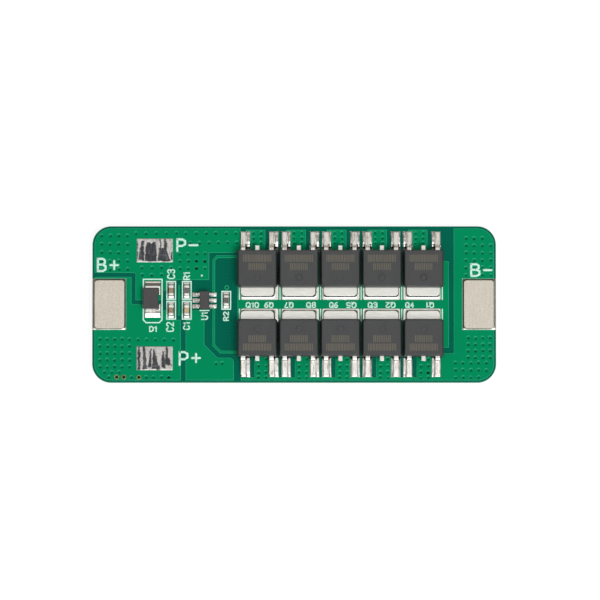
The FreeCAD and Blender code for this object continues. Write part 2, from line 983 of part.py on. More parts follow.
def save_transistors():
    leads = transistor_leads()
    tab = transistor_tab()
    body = transistor_body(tab, leads)
    places = transistor_places()
    seats = [(x, y, row < 0, seat) for row, _, x, y in places]
    bodies = [moved(body, *place) for place in seats]
    tabs = [moved(tab, *place) for place in seats]
    pairs = [[moved(lead, *place) for lead in leads] for place in seats]
    for index in range(len(places)):
        name = f"transistor_{index + 1:02d}_"
        save(name + "body", [bodies[index]])
        save(name + "drain_tab", [tabs[index]])
        save(name + "leads", pairs[index])
    save("transistor_lead_solder", lead_joints(places, pairs))
    save("transistor_tab_solder", tab_joints(places, bodies, tabs))


def save_small_parts():
    joints = []
    for name, place in chip_places.items():
        is_capacitor = name.startswith("capacitor")
        pieces = chip_capacitor(*place) if is_capacitor else chip_resistor(*place)
        for piece, shapes in pieces.items():
            save(name + "_" + piece, shapes)
        height = capacitor_height if is_capacitor else resistor_height
        joints += chip_joints(place, height, sum(pieces.values(), []))
    diode_body, terminals = diode()
    save("diode_body", [diode_body])
    save("diode_terminals", terminals)
    controller_body, controller_leads = controller()
    save("controller_body", [controller_body])
    save("controller_leads", controller_leads)
    joints += diode_joints(diode_body, terminals) + controller_joints(controller_leads)
    save("small_part_solder", joints)


os.makedirs("parts", exist_ok=True)
save_board()
save_terminals()
save_transistors()
save_small_parts()
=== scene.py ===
import math
import random

import bmesh
import bpy
from mathutils import Matrix, Vector, noise
from mathutils.geometry import delaunay_2d_cdt


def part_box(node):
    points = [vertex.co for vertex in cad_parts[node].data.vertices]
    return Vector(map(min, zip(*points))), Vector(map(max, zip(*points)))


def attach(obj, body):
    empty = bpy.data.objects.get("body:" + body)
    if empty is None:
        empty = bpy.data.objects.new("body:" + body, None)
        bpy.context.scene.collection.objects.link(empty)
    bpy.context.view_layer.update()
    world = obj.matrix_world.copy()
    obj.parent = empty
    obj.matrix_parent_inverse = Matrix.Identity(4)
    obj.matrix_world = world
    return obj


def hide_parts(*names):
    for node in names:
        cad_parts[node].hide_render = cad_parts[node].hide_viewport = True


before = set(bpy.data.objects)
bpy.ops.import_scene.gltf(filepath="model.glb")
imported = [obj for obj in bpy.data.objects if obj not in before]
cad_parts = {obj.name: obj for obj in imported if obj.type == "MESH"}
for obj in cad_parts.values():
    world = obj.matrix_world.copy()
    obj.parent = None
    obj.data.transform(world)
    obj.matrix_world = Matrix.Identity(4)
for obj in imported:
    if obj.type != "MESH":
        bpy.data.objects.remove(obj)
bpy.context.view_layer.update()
print("frame loaded:", len(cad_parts), "solid nodes")

# Everything is built in millimetres and brought to metres when a piece is finished
perMetre = 1000.0


def nodeBox(node):
    low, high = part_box(node)
    return low * perMetre, high * perMetre


def nodeSpans(node):
    # x low, x high, y low, y high, z low, z high
    return tuple(value for span in zip(*nodeBox(node)) for value in span)


boardLow, boardHigh = nodeBox("laminate")
laminateTop = boardHigh.z
copperTop = nodeBox("top_copper")[1].z
seat = nodeBox("battery_positive_plate")[0].z


# Finishes

def newMaterial(name, colour, roughness, metallic=0.0, specular=0.5):
    material = bpy.data.materials.new(name)
    material.use_nodes = True
    shader = material.node_tree.nodes["Principled BSDF"]
    shader.inputs["Base Color"].default_value = (*colour, 1)
    shader.inputs["Roughness"].default_value = roughness
    shader.inputs["Metallic"].default_value = metallic
    shader.inputs["Specular IOR Level"].default_value = specular
    return material, material.node_tree, shader


def added(tree, kind, inputs, **settings):
    # a new node with its settings; each input is linked to a socket, or set to a number or colour
    node = tree.nodes.new("ShaderNode" + kind)
    for name, value in settings.items():
        setattr(node, name, value)
    for name, value in inputs.items():
        if isinstance(value, bpy.types.NodeSocket):
            tree.links.new(value, node.inputs[name])
        else:
            node.inputs[name].default_value = (*value, 1) if isinstance(value, tuple) else value
    return node


def place(tree, stretch=(1, 1, 1)):
    # object coordinates in mm; pieces sit at the origin, so these are the board's own
    source = added(tree, "TexCoord", {}).outputs["Object"]
    scale = Vector(stretch) * perMetre
    return added(tree, "Mapping", {"Vector": source, "Scale": scale}).outputs["Vector"]


def grain(tree, vector, scale, detail=3.0, roughness=0.5):
    inputs = {"Vector": vector, "Scale": scale, "Detail": detail, "Roughness": roughness}
    return added(tree, "TexNoise", inputs).outputs["Fac"]


def ramp(tree, factor, stops):
    # each stop: position and colour, or one number for a grey
    node = added(tree, "ValToRGB", {"Fac": factor})
    points = node.color_ramp.elements
    while len(points) < len(stops):
        points.new(0.5)
    for point, (position, colour) in zip(points, stops):
        point.position = position
        point.color = (*colour, 1) if isinstance(colour, tuple) else (colour, colour, colour, 1)
    return node.outputs["Color"]


def blended(tree, factor, first, second):
    # first where the factor is 0, second where it is 1
    return added(tree, "Mix", {0: factor, 6: first, 7: second}, data_type="RGBA").outputs[2]


def attribute(tree, name):
    return added(tree, "Attribute", {}, attribute_name=name).outputs["Fac"]


def worked(tree, operation, first, second=0.0):
    return added(tree, "Math", {0: first, 1: second}, operation=operation).outputs[0]


def mixture(tree, first, second, share):
    # the first noise by its share, and the second by the rest
    rest = worked(tree, "MULTIPLY", second, 1 - share)
    return worked(tree, "ADD", worked(tree, "MULTIPLY", first, share), rest)


def bump(tree, shader, height, distance, strength=1.0):
    # distance in mm
    node = added(tree, "Bump", {"Height": height, "Distance": distance / perMetre, "Strength": strength})
    tree.links.new(node.outputs["Normal"], shader.inputs["Normal"])


def toColour(tree, shader, colour):
    tree.links.new(colour, shader.inputs["Base Color"])


def toRoughness(tree, shader, factor, low, high):
    node = added(tree, "MapRange", {"Value": factor, "To Min": low, "To Max": high})
    tree.links.new(node.outputs["Result"], shader.inputs["Roughness"])


def shaded(colour, share):
    return tuple(share * c for c in colour)


mask = {
    "onCopper": (0.0004, 0.236, 0.090),
    "onCopperDeep": (0.0003, 0.218, 0.082),
    "atEdges": (0.045, 0.42, 0.24),
    "onLaminate": (0.0004, 0.112, 0.064),
    "onLaminateDeep": (0.0003, 0.094, 0.056),
    "holeShade": (0.0003, 0.055, 0.026),
    "openBoreShade": (0.002, 0.012, 0.008),
    "routedSide": [(0.30, (0.05, 0.15, 0.08)), (0.55, (0.15, 0.31, 0.19)), (0.75, (0.28, 0.42, 0.29))],
    "sheen": (0.06, 0.92, 0.64),
    "roughness": 0.20,
    "sideRoughness": 0.75,
    "uprightBelow": 0.35,  # steepness, which is 0 for an upright face and 1 for a level one
    "roundedBelow": 0.98,
    "paleOnRound": 0.22,
    "paleAtPours": 0.50,
    "specular": 0.40,
}


def maskMaterial(name, colour):
    material, tree, shader = newMaterial(name, colour, mask["roughness"], 0.0, mask["specular"])
    shader.inputs["Specular Tint"].default_value = (*mask["sheen"], 1)
    return material, tree, shader


def copperMaskMaterial():
    material, tree, shader = maskMaterial("maskOverCopper", mask["onCopper"])
    at = place(tree)
    body = blended(tree, grain(tree, at, 0.22, 4.0, 0.6), mask["onCopperDeep"], mask["onCopper"])
    # thin: paler mask where it is thin over pour edges and ring rims, with a painted highlight on the far
    # rims of the closed holes; hole: painted shade in the bowls and bores
    thin = worked(tree, "MULTIPLY", attribute(tree, "thin"), mask["paleAtPours"])
    hole = attribute(tree, "hole")
    closed = blended(tree, hole, blended(tree, thin, body, mask["atEdges"]), mask["holeShade"])
    bore = worked(tree, "SUBTRACT", hole, 1.0)  # above 0 only in the holes that the mask has left open
    toColour(tree, shader, blended(tree, bore, closed, mask["openBoreShade"]))
    bump(tree, shader, grain(tree, at, 1.6, 3.0, 0.55), 0.006, 0.7)
    return material


def laminateMaterial():
    material, tree, shader = maskMaterial("maskOverLaminate", mask["onLaminate"])
    threads = {"Vector": place(tree), "Scale": 0.62, "Distortion": 0.6, "Detail": 1.0}
    weave = [added(tree, "TexWave", threads, bands_direction=way).outputs["Fac"] for way in ("X", "Y")]
    cloth = worked(tree, "MULTIPLY", *weave)
    top = blended(tree, cloth, mask["onLaminateDeep"], mask["onLaminate"])
    # the mask is thin on the rounded edge; the routed side below it shows pale glass fibre in resin
    normal = added(tree, "NewGeometry", {}).outputs["True Normal"]
    steepness = worked(tree, "ABSOLUTE", added(tree, "SeparateXYZ", {0: normal}).outputs["Z"])
    upright = worked(tree, "LESS_THAN", steepness, mask["uprightBelow"])
    rounded = worked(tree, "LESS_THAN", steepness, mask["roundedBelow"])
    top = blended(tree, worked(tree, "MULTIPLY", rounded, mask["paleOnRound"]), top, mask["atEdges"])
    layers = grain(tree, place(tree, (0.5, 0.5, 9.0)), 1.4, 3.0, 0.7)
    toColour(tree, shader, blended(tree, upright, top, ramp(tree, layers, mask["routedSide"])))
    toRoughness(tree, shader, upright, mask["roughness"], mask["sideRoughness"])
    bump(tree, shader, cloth, 0.010, 0.6)
    return material


def inkMaterial():
    material, tree, shader = newMaterial("printedInk", (0.62, 0.93, 0.79), 0.55, 0.0, 0.3)
    at = place(tree)
    cover = [(0.3, (0.46, 0.82, 0.65)), (0.55, (0.66, 0.95, 0.82))]
    toColour(tree, shader, ramp(tree, grain(tree, at, 4.0, 2.0), cover))
    bump(tree, shader, grain(tree, at, 9.0, 2.0), 0.004, 0.5)
    return material


def solderMaterial(name, colour, roughness):
    # bright tin, darker where the attribute asks: painted shade at the lead heels and along the tabs'
    # edges, and darker beside the chips and on part of the diode's lands
    material, tree, shader = newMaterial(name, colour, roughness[0], 1.0)
    at = place(tree)
    cloud = grain(tree, at, 1.6, 4.0, 0.6)
    brightTin = ramp(tree, cloud, [(0.30, shaded(colour, 0.82)), (0.62, colour)])
    toColour(tree, shader, blended(tree, attribute(tree, "dullAndShade"), brightTin, (0.085, 0.090, 0.075)))
    toRoughness(tree, shader, cloud, *roughness)
    bump(tree, shader, grain(tree, at, 5.0, 3.0), 0.012, 0.5)
    return material


def plateSolderMaterial():
    # bright tin along the near edge, and painted shade, brown and dark, over the rest of the bead
    material, tree, shader = newMaterial("plateSolder", (0.92, 0.90, 0.84), 0.2, 1.0)
    dullAndShade = attribute(tree, "dullAndShade")
    cloud = grain(tree, place(tree), 2.4, 4.0, 0.6)
    bright = ramp(tree, cloud, [(0.30, (0.76, 0.76, 0.68)), (0.62, (0.94, 0.93, 0.86))])
    paintedShade = ramp(tree, cloud, [(0.30, (0.10, 0.13, 0.085)), (0.62, (0.20, 0.22, 0.16))])
    toColour(tree, shader, blended(tree, dullAndShade, bright, paintedShade))
    toRoughness(tree, shader, dullAndShade, 0.18, 0.50)
    bump(tree, shader, cloud, 0.012, 0.5)
    return material


def barePlatingMaterial():
    # plated hole left open in the mask: olive rim round a bore painted dark as its shade
    material, tree, shader = newMaterial("barePlating", (0.20, 0.24, 0.09), 0.35, 0.6)
    at = place(tree)
    rim = ramp(tree, grain(tree, at, 4.0, 2.0), [(0.30, (0.12, 0.17, 0.05)), (0.62, (0.30, 0.34, 0.15))])
    toColour(tree, shader, blended(tree, attribute(tree, "hole"), rim, (0.018, 0.024, 0.006)))
    toRoughness(tree, shader, attribute(tree, "hole"), 0.32, 0.8)
    bump(tree, shader, grain(tree, at, 9.0, 2.0), 0.006, 0.5)
    return material


def leadMaterial():
    # matt tin plate with the drawing marks of the forming tool along the lead
    material, tree, shader = newMaterial("tinPlatedLead", (0.80, 0.77, 0.72), 0.3, 1.0)
    streaks = grain(tree, place(tree, (4.2, 0.55, 0.55)), 1.2, 3.0, 0.6)
    plating = [(0.34, (0.52, 0.46, 0.39)), (0.46, (0.84, 0.81, 0.76)), (0.60, (0.95, 0.94, 0.91))]
    toColour(tree, shader, ramp(tree, streaks, plating))
    toRoughness(tree, shader, streaks, 0.38, 0.26)
    bump(tree, shader, streaks, 0.010, 0.5)
    return material


def tabMaterial():
    material, tree, shader = newMaterial("tinPlatedTab", (0.88, 0.87, 0.84), 0.42, 1.0)
    brushed = grain(tree, place(tree, (0.6, 6.0, 1.0)), 1.2, 3.0, 0.6)
    toColour(tree, shader, ramp(tree, brushed, [(0.30, (0.83, 0.83, 0.79)), (0.60, (0.95, 0.95, 0.91))]))
    toRoughness(tree, shader, brushed, 0.46, 0.36)
    bump(tree, shader, grain(tree, place(tree), 7.0, 3.0), 0.005, 0.5)
    return material


def nickelMaterial():
    material, tree, shader = newMaterial("rolledNickel", (0.76, 0.71, 0.62), 0.5, 1.0)
    speckle = grain(tree, place(tree), 5.5, 3.0, 0.7)
    rolled = grain(tree, place(tree, (3.0, 0.25, 1.0)), 1.0, 3.0, 0.6)
    both = mixture(tree, speckle, rolled, 0.8)
    tones = [(0.34, (0.67, 0.63, 0.54)), (0.50, (0.77, 0.72, 0.635)), (0.66, (0.87, 0.82, 0.745))]
    toColour(tree, shader, ramp(tree, both, tones))
    toRoughness(tree, shader, both, 0.60, 0.44)
    bump(tree, shader, speckle, 0.006, 0.6)
    return material


def mottledPadMaterial():
    # hot-air levelled tin: bright ridges between dull smears
    material, tree, shader = newMaterial("mottledTin", (0.5, 0.5, 0.5), 0.4, 1.0)
    dullAndShade = attribute(tree, "dullAndShade")
    fine = grain(tree, place(tree, (2.4, 0.9, 1.0)), 1.5, 4.0, 0.7)
    scratches = grain(tree, place(tree, (0.5, 5.0, 1.0)), 1.6, 3.0, 0.7)
    rough = mixture(tree, fine, scratches, 0.6)
    uneven = worked(tree, "ADD", worked(tree, "MULTIPLY", worked(tree, "SUBTRACT", rough, 0.5), 2.6), 0.10)
    smeared = worked(tree, "ADD", worked(tree, "MULTIPLY", dullAndShade, 0.82), uneven)
    bright = [(0.05, (0.68, 0.67, 0.65)), (0.35, (0.44, 0.44, 0.43))]
    dark = [(0.62, (0.16, 0.165, 0.175)), (0.95, (0.075, 0.078, 0.09))]
    toColour(tree, shader, ramp(tree, smeared, bright + dark))
    toRoughness(tree, shader, smeared, 0.34, 0.58)
    bump(tree, shader, rough, 0.020, 0.7)
    return material


def epoxyMaterial(name, colour, roughness=0.62):
    # moulded epoxy: the fine spark-eroded skin of the mould
    material, tree, shader = newMaterial(name, colour, roughness, 0.0, 0.80)
    fine = grain(tree, place(tree), 9.0, 4.0, 0.7)
    flow = grain(tree, place(tree, (1.0, 0.25, 1.0)), 0.9, 3.0, 0.6)
    skin = [(0.32, shaded(colour, 0.84)), (0.66, shaded(colour, 1.14))]
    toColour(tree, shader, ramp(tree, mixture(tree, fine, flow, 0.55), skin))
    bump(tree, shader, fine, 0.010, 0.5)
    return material


def ceramicMaterial(name, dark, light, roughness=0.5):
    material, tree, shader = newMaterial(name, light, roughness, 0.0, 0.4)
    at = place(tree)
    toColour(tree, shader, ramp(tree, grain(tree, at, 4.5, 4.0, 0.6), [(0.35, dark), (0.62, light)]))
    bump(tree, shader, grain(tree, at, 11.0, 2.0), 0.006, 0.5)
    return material


materials = {
    "copperMask": copperMaskMaterial(),
    "laminate": laminateMaterial(),
    "ink": inkMaterial(),
    "solder": solderMaterial("reflowedSolder", (0.90, 0.89, 0.86), (0.10, 0.26)),
    "land": solderMaterial("tinnedLand", (0.80, 0.79, 0.75), (0.22, 0.40)),
    "cap": solderMaterial("endCap", (0.88, 0.87, 0.83), (0.16, 0.32)),
    "plateSolder": plateSolderMaterial(),
    "lead": leadMaterial(),
    "tab": tabMaterial(),
    "nickel": nickelMaterial(),
    "pad": mottledPadMaterial(),
    "case": epoxyMaterial("caseEpoxy", (0.040, 0.041, 0.0435)),
    "smallCase": epoxyMaterial("smallCaseEpoxy", (0.044, 0.041, 0.043)),
    "mark": epoxyMaterial("burntMark", (0.128, 0.116, 0.088), 0.75),
    "ceramic": ceramicMaterial("brownCeramic", (0.24, 0.17, 0.11), (0.36, 0.27, 0.18)),
    "paleCeramic": ceramicMaterial("paleCeramic", (0.42, 0.30, 0.17), (0.62, 0.46, 0.28)),
    "alumina": ceramicMaterial("alumina", (0.60, 0.60, 0.57), (0.74, 0.73, 0.70)),
    "coat": ceramicMaterial("resistorCoat", (0.10, 0.09, 0.09), (0.17, 0.15, 0.15), 0.25),
    "ring": barePlatingMaterial(),
}
print("finishes mixed:", len(materials))


# Tools for shapes

def finished(bm, name, material, slotName, node=None, flatFaces=True):
    # a piece of the board: brought to metres, riding on the one body and standing for its solid
    bmesh.ops.recalc_face_normals(bm, faces=bm.faces)
    bm.transform(Matrix.Scale(1 / perMetre, 4))
    mesh = bpy.data.meshes.new(name)
    bm.to_mesh(mesh)
    bm.free()
    mesh.materials.append(materials[material])
    for face in mesh.polygons:
        face.use_smooth = not (flatFaces and abs(face.normal.z) > 0.99999)
    piece = bpy.data.objects.new(name, mesh)
    bpy.context.scene.collection.objects.link(piece)
    if flatFaces:
        piece.modifiers.new("flatFaces", "WEIGHTED_NORMAL").keep_sharp = True
    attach(piece, "root")
    if node:
        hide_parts(node)


def cadMesh(node):
    bm = bmesh.new()
    bm.from_mesh(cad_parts[node].data)
    bm.transform(Matrix.Scale(perMetre, 4))
    bmesh.ops.remove_doubles(bm, verts=bm.verts, dist=0.0005)
    bmesh.ops.dissolve_limit(bm, angle_limit=math.radians(0.5), verts=bm.verts, edges=bm.edges)
    bm.normal_update()
    return bm


def solidBoxes(node):
    # x low, x high, y low, y high, z low, z high of each separate solid of a node
    bm = cadMesh(node)
    waiting = set(bm.verts)
    boxes = []
    while waiting:
        start = waiting.pop()
        found, front = [start], [start]
        while front:
            for vert in (v for edge in front.pop().link_edges for v in edge.verts if v in waiting):
                waiting.remove(vert)
                found.append(vert)
                front.append(vert)
        spans = [sorted(v.co[axis] for v in found) for axis in range(3)]
        boxes.append(tuple(value for span in spans for value in (span[0], span[-1])))
    bm.free()
    return sorted(boxes)


def flatLoops(node, height):
    # outlines of a node's flat faces at one height: outer ones run anticlockwise, holes clockwise
    bm = cadMesh(node)
    flat = {f for f in bm.faces if f.normal.z > 0.99 and abs(f.calc_center_median().z - height) < 0.003}
    onward = {}
    for corner in (c for face in flat for c in face.loops):
        if sum(other in flat for other in corner.edge.link_faces) == 1:
            onward.setdefault(corner.vert, []).append(corner.link_loop_next.vert)
    loops = []
    while onward:
        loop, vert = [], next(iter(onward))
        while vert in onward:
            loop.append(vert.co.to_2d())
            following = onward[vert].pop()
            if not onward[vert]:
                del onward[vert]
            vert = following
        loops.append(cleaned(loop))
    bm.free()
    return [loop for loop in loops if len(loop) > 2]


def cleaned(loop):
    # without points that lie on a straight run or on each other
    kept = [p for i, p in enumerate(loop) if (p - loop[i - 1]).length > 0.01]
    result = []
    for i, point in enumerate(kept):
        before, after = point - kept[i - 1], kept[(i + 1) % len(kept)] - point
        if abs(before.normalized().cross(after.normalized())) > 0.01:
            result.append(point)
    return result


def area(loop):
    return sum(p.cross(loop[(i + 1) % len(loop)]) for i, p in enumerate(loop)) / 2


def perimeter(loop):
    return sum((p - loop[i - 1]).length for i, p in enumerate(loop))


def mitre(earlier, point, later, least):
    # from a corner to its left side, as long as an even distance of 1 needs; least keeps it short
    before, after = (point - earlier).normalized(), (later - point).normalized()
    normal = Vector((-before.y - after.y, before.x + after.x)).normalized()
    return normal / max(normal.dot(Vector((-before.y, before.x))), least)


def inset(loop, distance):
    # an anticlockwise outline moved inwards by an even distance
    if not distance:
        return loop
    later = loop[1:] + loop[:1]
    return [p + mitre(loop[i - 1], p, later[i], 0.35) * distance for i, p in enumerate(loop)]


def isInside(loop, point):
    inside = False
    for i, b in enumerate(loop):
        a = loop[i - 1]
        if (a.y > point.y) != (b.y > point.y):
            if point.x < (b.x - a.x) * (point.y - a.y) / (b.y - a.y) + a.x:
                inside = not inside
    return inside


def edgeDistance(loop, point):
    nearest = 1e9
    for i, b in enumerate(loop):
        a = loop[i - 1]
        share = max(0.0, min(1.0, (point - a).dot(b - a) / max((b - a).length_squared, 1e-12)))
        nearest = min(nearest, (point - a - (b - a) * share).length)
    return nearest


def middleOf(box):
    return Vector(((box[0] + box[1]) / 2, (box[2] + box[3]) / 2))


def roundedLoop(xLow, xHigh, yLow, yHigh, radius, steps=8):
    # anticlockwise rounded rectangle; four radii start at the lower left corner
    radii = radius if isinstance(radius, tuple) else (radius,) * 4
    corners = [(xLow, yLow, 1, 1), (xHigh, yLow, -1, 1), (xHigh, yHigh, -1, -1), (xLow, yHigh, 1, -1)]
    loop = []
    for number, ((x, y, sx, sy), r) in enumerate(zip(corners, radii)):
        for i in range(steps + 1):
            angle = math.radians(180 + 90 * number + 90 * i / steps)
            loop.append(Vector((x + sx * r + r * math.cos(angle), y + sy * r + r * math.sin(angle))))
    return loop


def circle(x, y, radius, sides):
    angles = [2 * math.pi * i / sides for i in range(sides)]
    return [Vector((x + radius * math.cos(a), y + radius * math.sin(a))) for a in angles]


def ring(bm, loop, height):
    # height is one number, or one for each point
    heights = height if isinstance(height, list) else [height] * len(loop)
    return [bm.verts.new((p.x, p.y, z)) for p, z in zip(loop, heights)]


def walls(bm, rings, capLow=True, capHigh=True):
    # faces between rings that follow each other, closed at the ends where asked
    for lower, upper in zip(rings, rings[1:]):
        for i in range(len(lower)):
            bm.faces.new((lower[i - 1], lower[i], upper[i], upper[i - 1]))
    if capLow:
        bm.faces.new(rings[0][::-1])
    if capHigh:
        bm.faces.new(rings[-1])


def stacked(bm, loop, profile):
    # the outline carried up a profile of (inset, height) steps
    walls(bm, [ring(bm, inset(loop, distance), height) for distance, height in profile])


def filled(bm, outer, holes, height):
    # flat face with round holes; it is welded to the rings round it afterwards
    points = [p.to_2d() for p in outer]
    outlines = [list(range(len(points)))]
    for hole in holes:
        outlines.append(list(range(len(points), len(points) + len(hole))))
        points += hole
    found = delaunay_2d_cdt(points, [], outlines, 2, 1e-5)
    verts = [bm.verts.new((p.x, p.y, height)) for p in found[0]]
    for face in found[2]:
        bm.faces.new([verts[i] for i in face])


def roundedProfile(low, high, radius, steps=3):
    # profile of a plate whose upper and lower edges are rounded alike
    angles = [math.pi / 2 * i / steps for i in range(steps + 1)]
    lower = [(radius * (1 - math.sin(a)), low + radius * (1 - math.cos(a))) for a in angles]
    upper = [(radius * (1 - math.cos(a)), high - radius * (1 - math.sin(a))) for a in angles]
    return lower + upper


def bevelled(bm, edges, width, segments):
    bmesh.ops.bevel(
        bm, geom=edges, offset=width, segments=segments, profile=0.5, affect="EDGES", clamp_overlap=True
    )


def sharpEdges(bm, angle):
    return [edge for edge in bm.edges if edge.calc_face_angle(0) > math.radians(angle)]


def roundedBox(bm, box, radius, segments=3):
    made = bmesh.ops.create_cube(bm, size=1.0)["verts"]
    low, high = Vector(box[::2]), Vector(box[1::2])
    for vert in made:
        vert.co = vert.co * (high - low) + (low + high) / 2
    bevelled(bm, list({edge for vert in made for edge in vert.link_edges}), radius, segments)


def evenLoop(loop, count):
    # the same outline with evenly spread points, starting from its lowest left one
    start = min(range(len(loop)), key=lambda i: loop[i].x + loop[i].y)
    order = loop[start:] + loop[:start]
    step, points, travelled = perimeter(loop) / count, [], 0.0
    for a, b in zip(order, order[1:] + order[:1]):
        run = (b - a).length
        while len(points) * step <= travelled + run + 1e-9 and len(points) < count:
            points.append(a + (b - a) * ((len(points) * step - travelled) / run if run else 0))
        travelled += run
    return points


def fillet(bm, land, foot, high, look, seed):
    # solder drawn up from the outline of a land to the outline of a foot in a hollow curve
    outer, inner = evenLoop(land, look["sides"]), evenLoop(foot, look["sides"])
    shift = Vector((seed * 7.31, seed * 3.17, 0))
    sideways, lowest = 0.6, 0.05  # share of a lump that goes sideways, and least share of the height
    rings = [ring(bm, outer, copperTop)]
    for k in range(look["levels"] + 1):
        t = k / look["levels"]
        rise = look["edge"] + (1 - look["edge"]) * t ** look["hollow"]
        loop, heights = [], []
        for a, b in zip(outer, inner):
            point = a.lerp(b, t)
            lump = noise.noise(point.to_3d() * look["lumpScale"] + shift) * look["lump"]
            loop.append(point + (a - b) * (lump * sideways * t * (1 - t)))
            heights.append(copperTop + (high - copperTop) * max(lowest, rise * (1 + lump)))
        rings.append(ring(bm, loop, heights))
    walls(bm, rings)
    return rings


def sheet(bm, box, steps, vertAt):
    # grid of faces over a rectangle; vertAt makes the point at x, y and a distance from the rim
    xLow, xHigh, yLow, yHigh = box[:4]
    rows = []
    for j in range(steps[1] + 1):
        y = yLow + (yHigh - yLow) * j / steps[1]
        row = []
        for i in range(steps[0] + 1):
            x = xLow + (xHigh - xLow) * i / steps[0]
            row.append(vertAt(x, y, min(x - xLow, xHigh - x, y - yLow, yHigh - y)))
        rows.append(row)
    for lower, upper in zip(rows, rows[1:]):
        for i in range(steps[0]):
            bm.faces.new((lower[i], lower[i + 1], upper[i + 1], upper[i]))


def clamped(value):
    return max(0.0, min(1.0, value))


def wobble(x, y, seed, size, xScale, yScale):
    return size * noise.noise(Vector((x * xScale, y * yScale, seed)))


# Board with its copper under the green mask

board = {"cornerRadius": 3.0, "edgeRound": 0.11, "cornerSteps": 20, "undersideRelief": 0.05}
bm = bmesh.new()
sides = (boardLow.x, boardHigh.x, boardLow.y, boardHigh.y)
outline = roundedLoop(*sides, board["cornerRadius"], board["cornerSteps"])
stacked(bm, outline, roundedProfile(board["undersideRelief"], laminateTop, board["edgeRound"]))
finished(bm, "laminate_board", "laminate", "laminate", "laminate")

# Drilled holes closed by the mask. Each ring of a bowl: share of the radius, depth, painted shade and
# how pale the mask is there; dark and thin: share of that in the middle, and what the far rim adds, so
# that the near side and the middle are painted in shade and the far rim pale as a painted highlight.
# Each field: the corner it is counted from, the first hole's distance from that corner's edges, the
# pitch and the number both ways
vias = {
    "radius": 0.38,
    "smallest": 0.20,
    "margin": 0.02,
    "sides": 16,
    "bowl": [
        (0.84, 0.010, 0.06, 1.8), (0.64, 0.032, 0.60, 0.9), (0.42, 0.054, 1.0, 0.0), (0.18, 0.062, 1.0, 0.0),
    ],
    "dark": (0.72, -0.28),
    "thin": (0.25, 0.75),
    "deepest": 0.068,
    "scatter": 0.05,
    "transistorColumns": (-0.6, 0.6),
    "transistorShift": -0.4,
    "transistorRows": {1: (11.55, 10.67, 9.87), -1: (-9.93, -10.95, -11.78)},
    "innerPlace": (1.0, -8.80),
    "openHoles": [
        (-17.5, 7.05), (-16.05, 7.05), (-14.67, 7.0), (-16.0, 5.85), (21.6, -10.75), (-20.15, -11.7),
    ],
    "openReach": 0.45,
    "openDarkness": 3.0,
    "fields": [
        (-1, 1, 1.48, 1.53, 1.39, 1.36, 4, 5),
        (-1, 1, 7.04, 1.13, 1.61, 0, 11, 1),
        (-1, 1, 14.28, 2.66, 1.50, 0, 7, 1),
        (-1, 1, 14.12, 4.46, 1.34, 1.17, 4, 3),
        (-1, 1, 8.00, 6.68, 1.56, 1.20, 4, 2),
        (-1, -1, 1.24, 2.50, 1.20, 1.11, 5, 5),
        (-1, -1, 1.96, 1.62, 1.18, 0, 3, 1),
        (-1, -1, 2.70, 0.84, 1.20, 0, 9, 1),
        (-1, -1, 7.36, 6.87, 1.43, 0, 5, 1),
        (-1, -1, 19.92, 3.05, 0.97, 0, 2, 1),
        (1, 1, 0.85, 1.95, 1.32, 1.18, 4, 6),
        (1, -1, 0.97, 4.06, 1.18, 1.04, 4, 4),
        (1, -1, 1.60, 0.80, 1.24, 1.17, 5, 3),
    ],
}


def viaPlaces(landCentres):
    found = []
    for xSide, ySide, x0, y0, xPitch, yPitch, xCount, yCount in vias["fields"]:
        for i, j in ((i, j) for j in range(yCount) for i in range(xCount)):
            found.append((xSide * (boardHigh.x - x0 - i * xPitch), ySide * (boardHigh.y - y0 - j * yPitch)))
    for centre in landCentres:
        for row, heights in vias["transistorRows"].items():
            middle = centre + row * vias["transistorShift"]
            found += [(middle + dx, y) for y in heights for dx in vias["transistorColumns"]]
        found.append((centre + vias["innerPlace"][0], vias["innerPlace"][1]))
    chance, scatter = random.Random(11), vias["scatter"]
    return [Vector(value + chance.uniform(-scatter, scatter) for value in spot) for spot in found]


landBoxes = solidBoxes("solder_lands")
# the lands under the tabs, told by their size and their distance from the board's ends
tabLands = [b for b in landBoxes if 5 < b[1] - b[0] < 7 and b[3] - b[2] > 5 and abs(b[0] + b[1]) < 50]
places = viaPlaces(sorted({round(middleOf(b).x, 2) for b in tabLands}))

# Pours of copper under the mask. Each step of an edge: distance inwards, height from the top and how
# thin the mask is there. Print that crosses an edge goes down by the drop over the shoulder
pour = {
    "smallest": 0.3,
    "edge": [
        (0, -0.072, 0.1), (0, -0.045, 0.5), (0.018, -0.020, 1),
        (0.046, -0.005, 1), (0.075, 0, 0.7), (0.14, 0, 0),
    ],
    "drop": 0.07,
    "shoulder": 0.12,
}


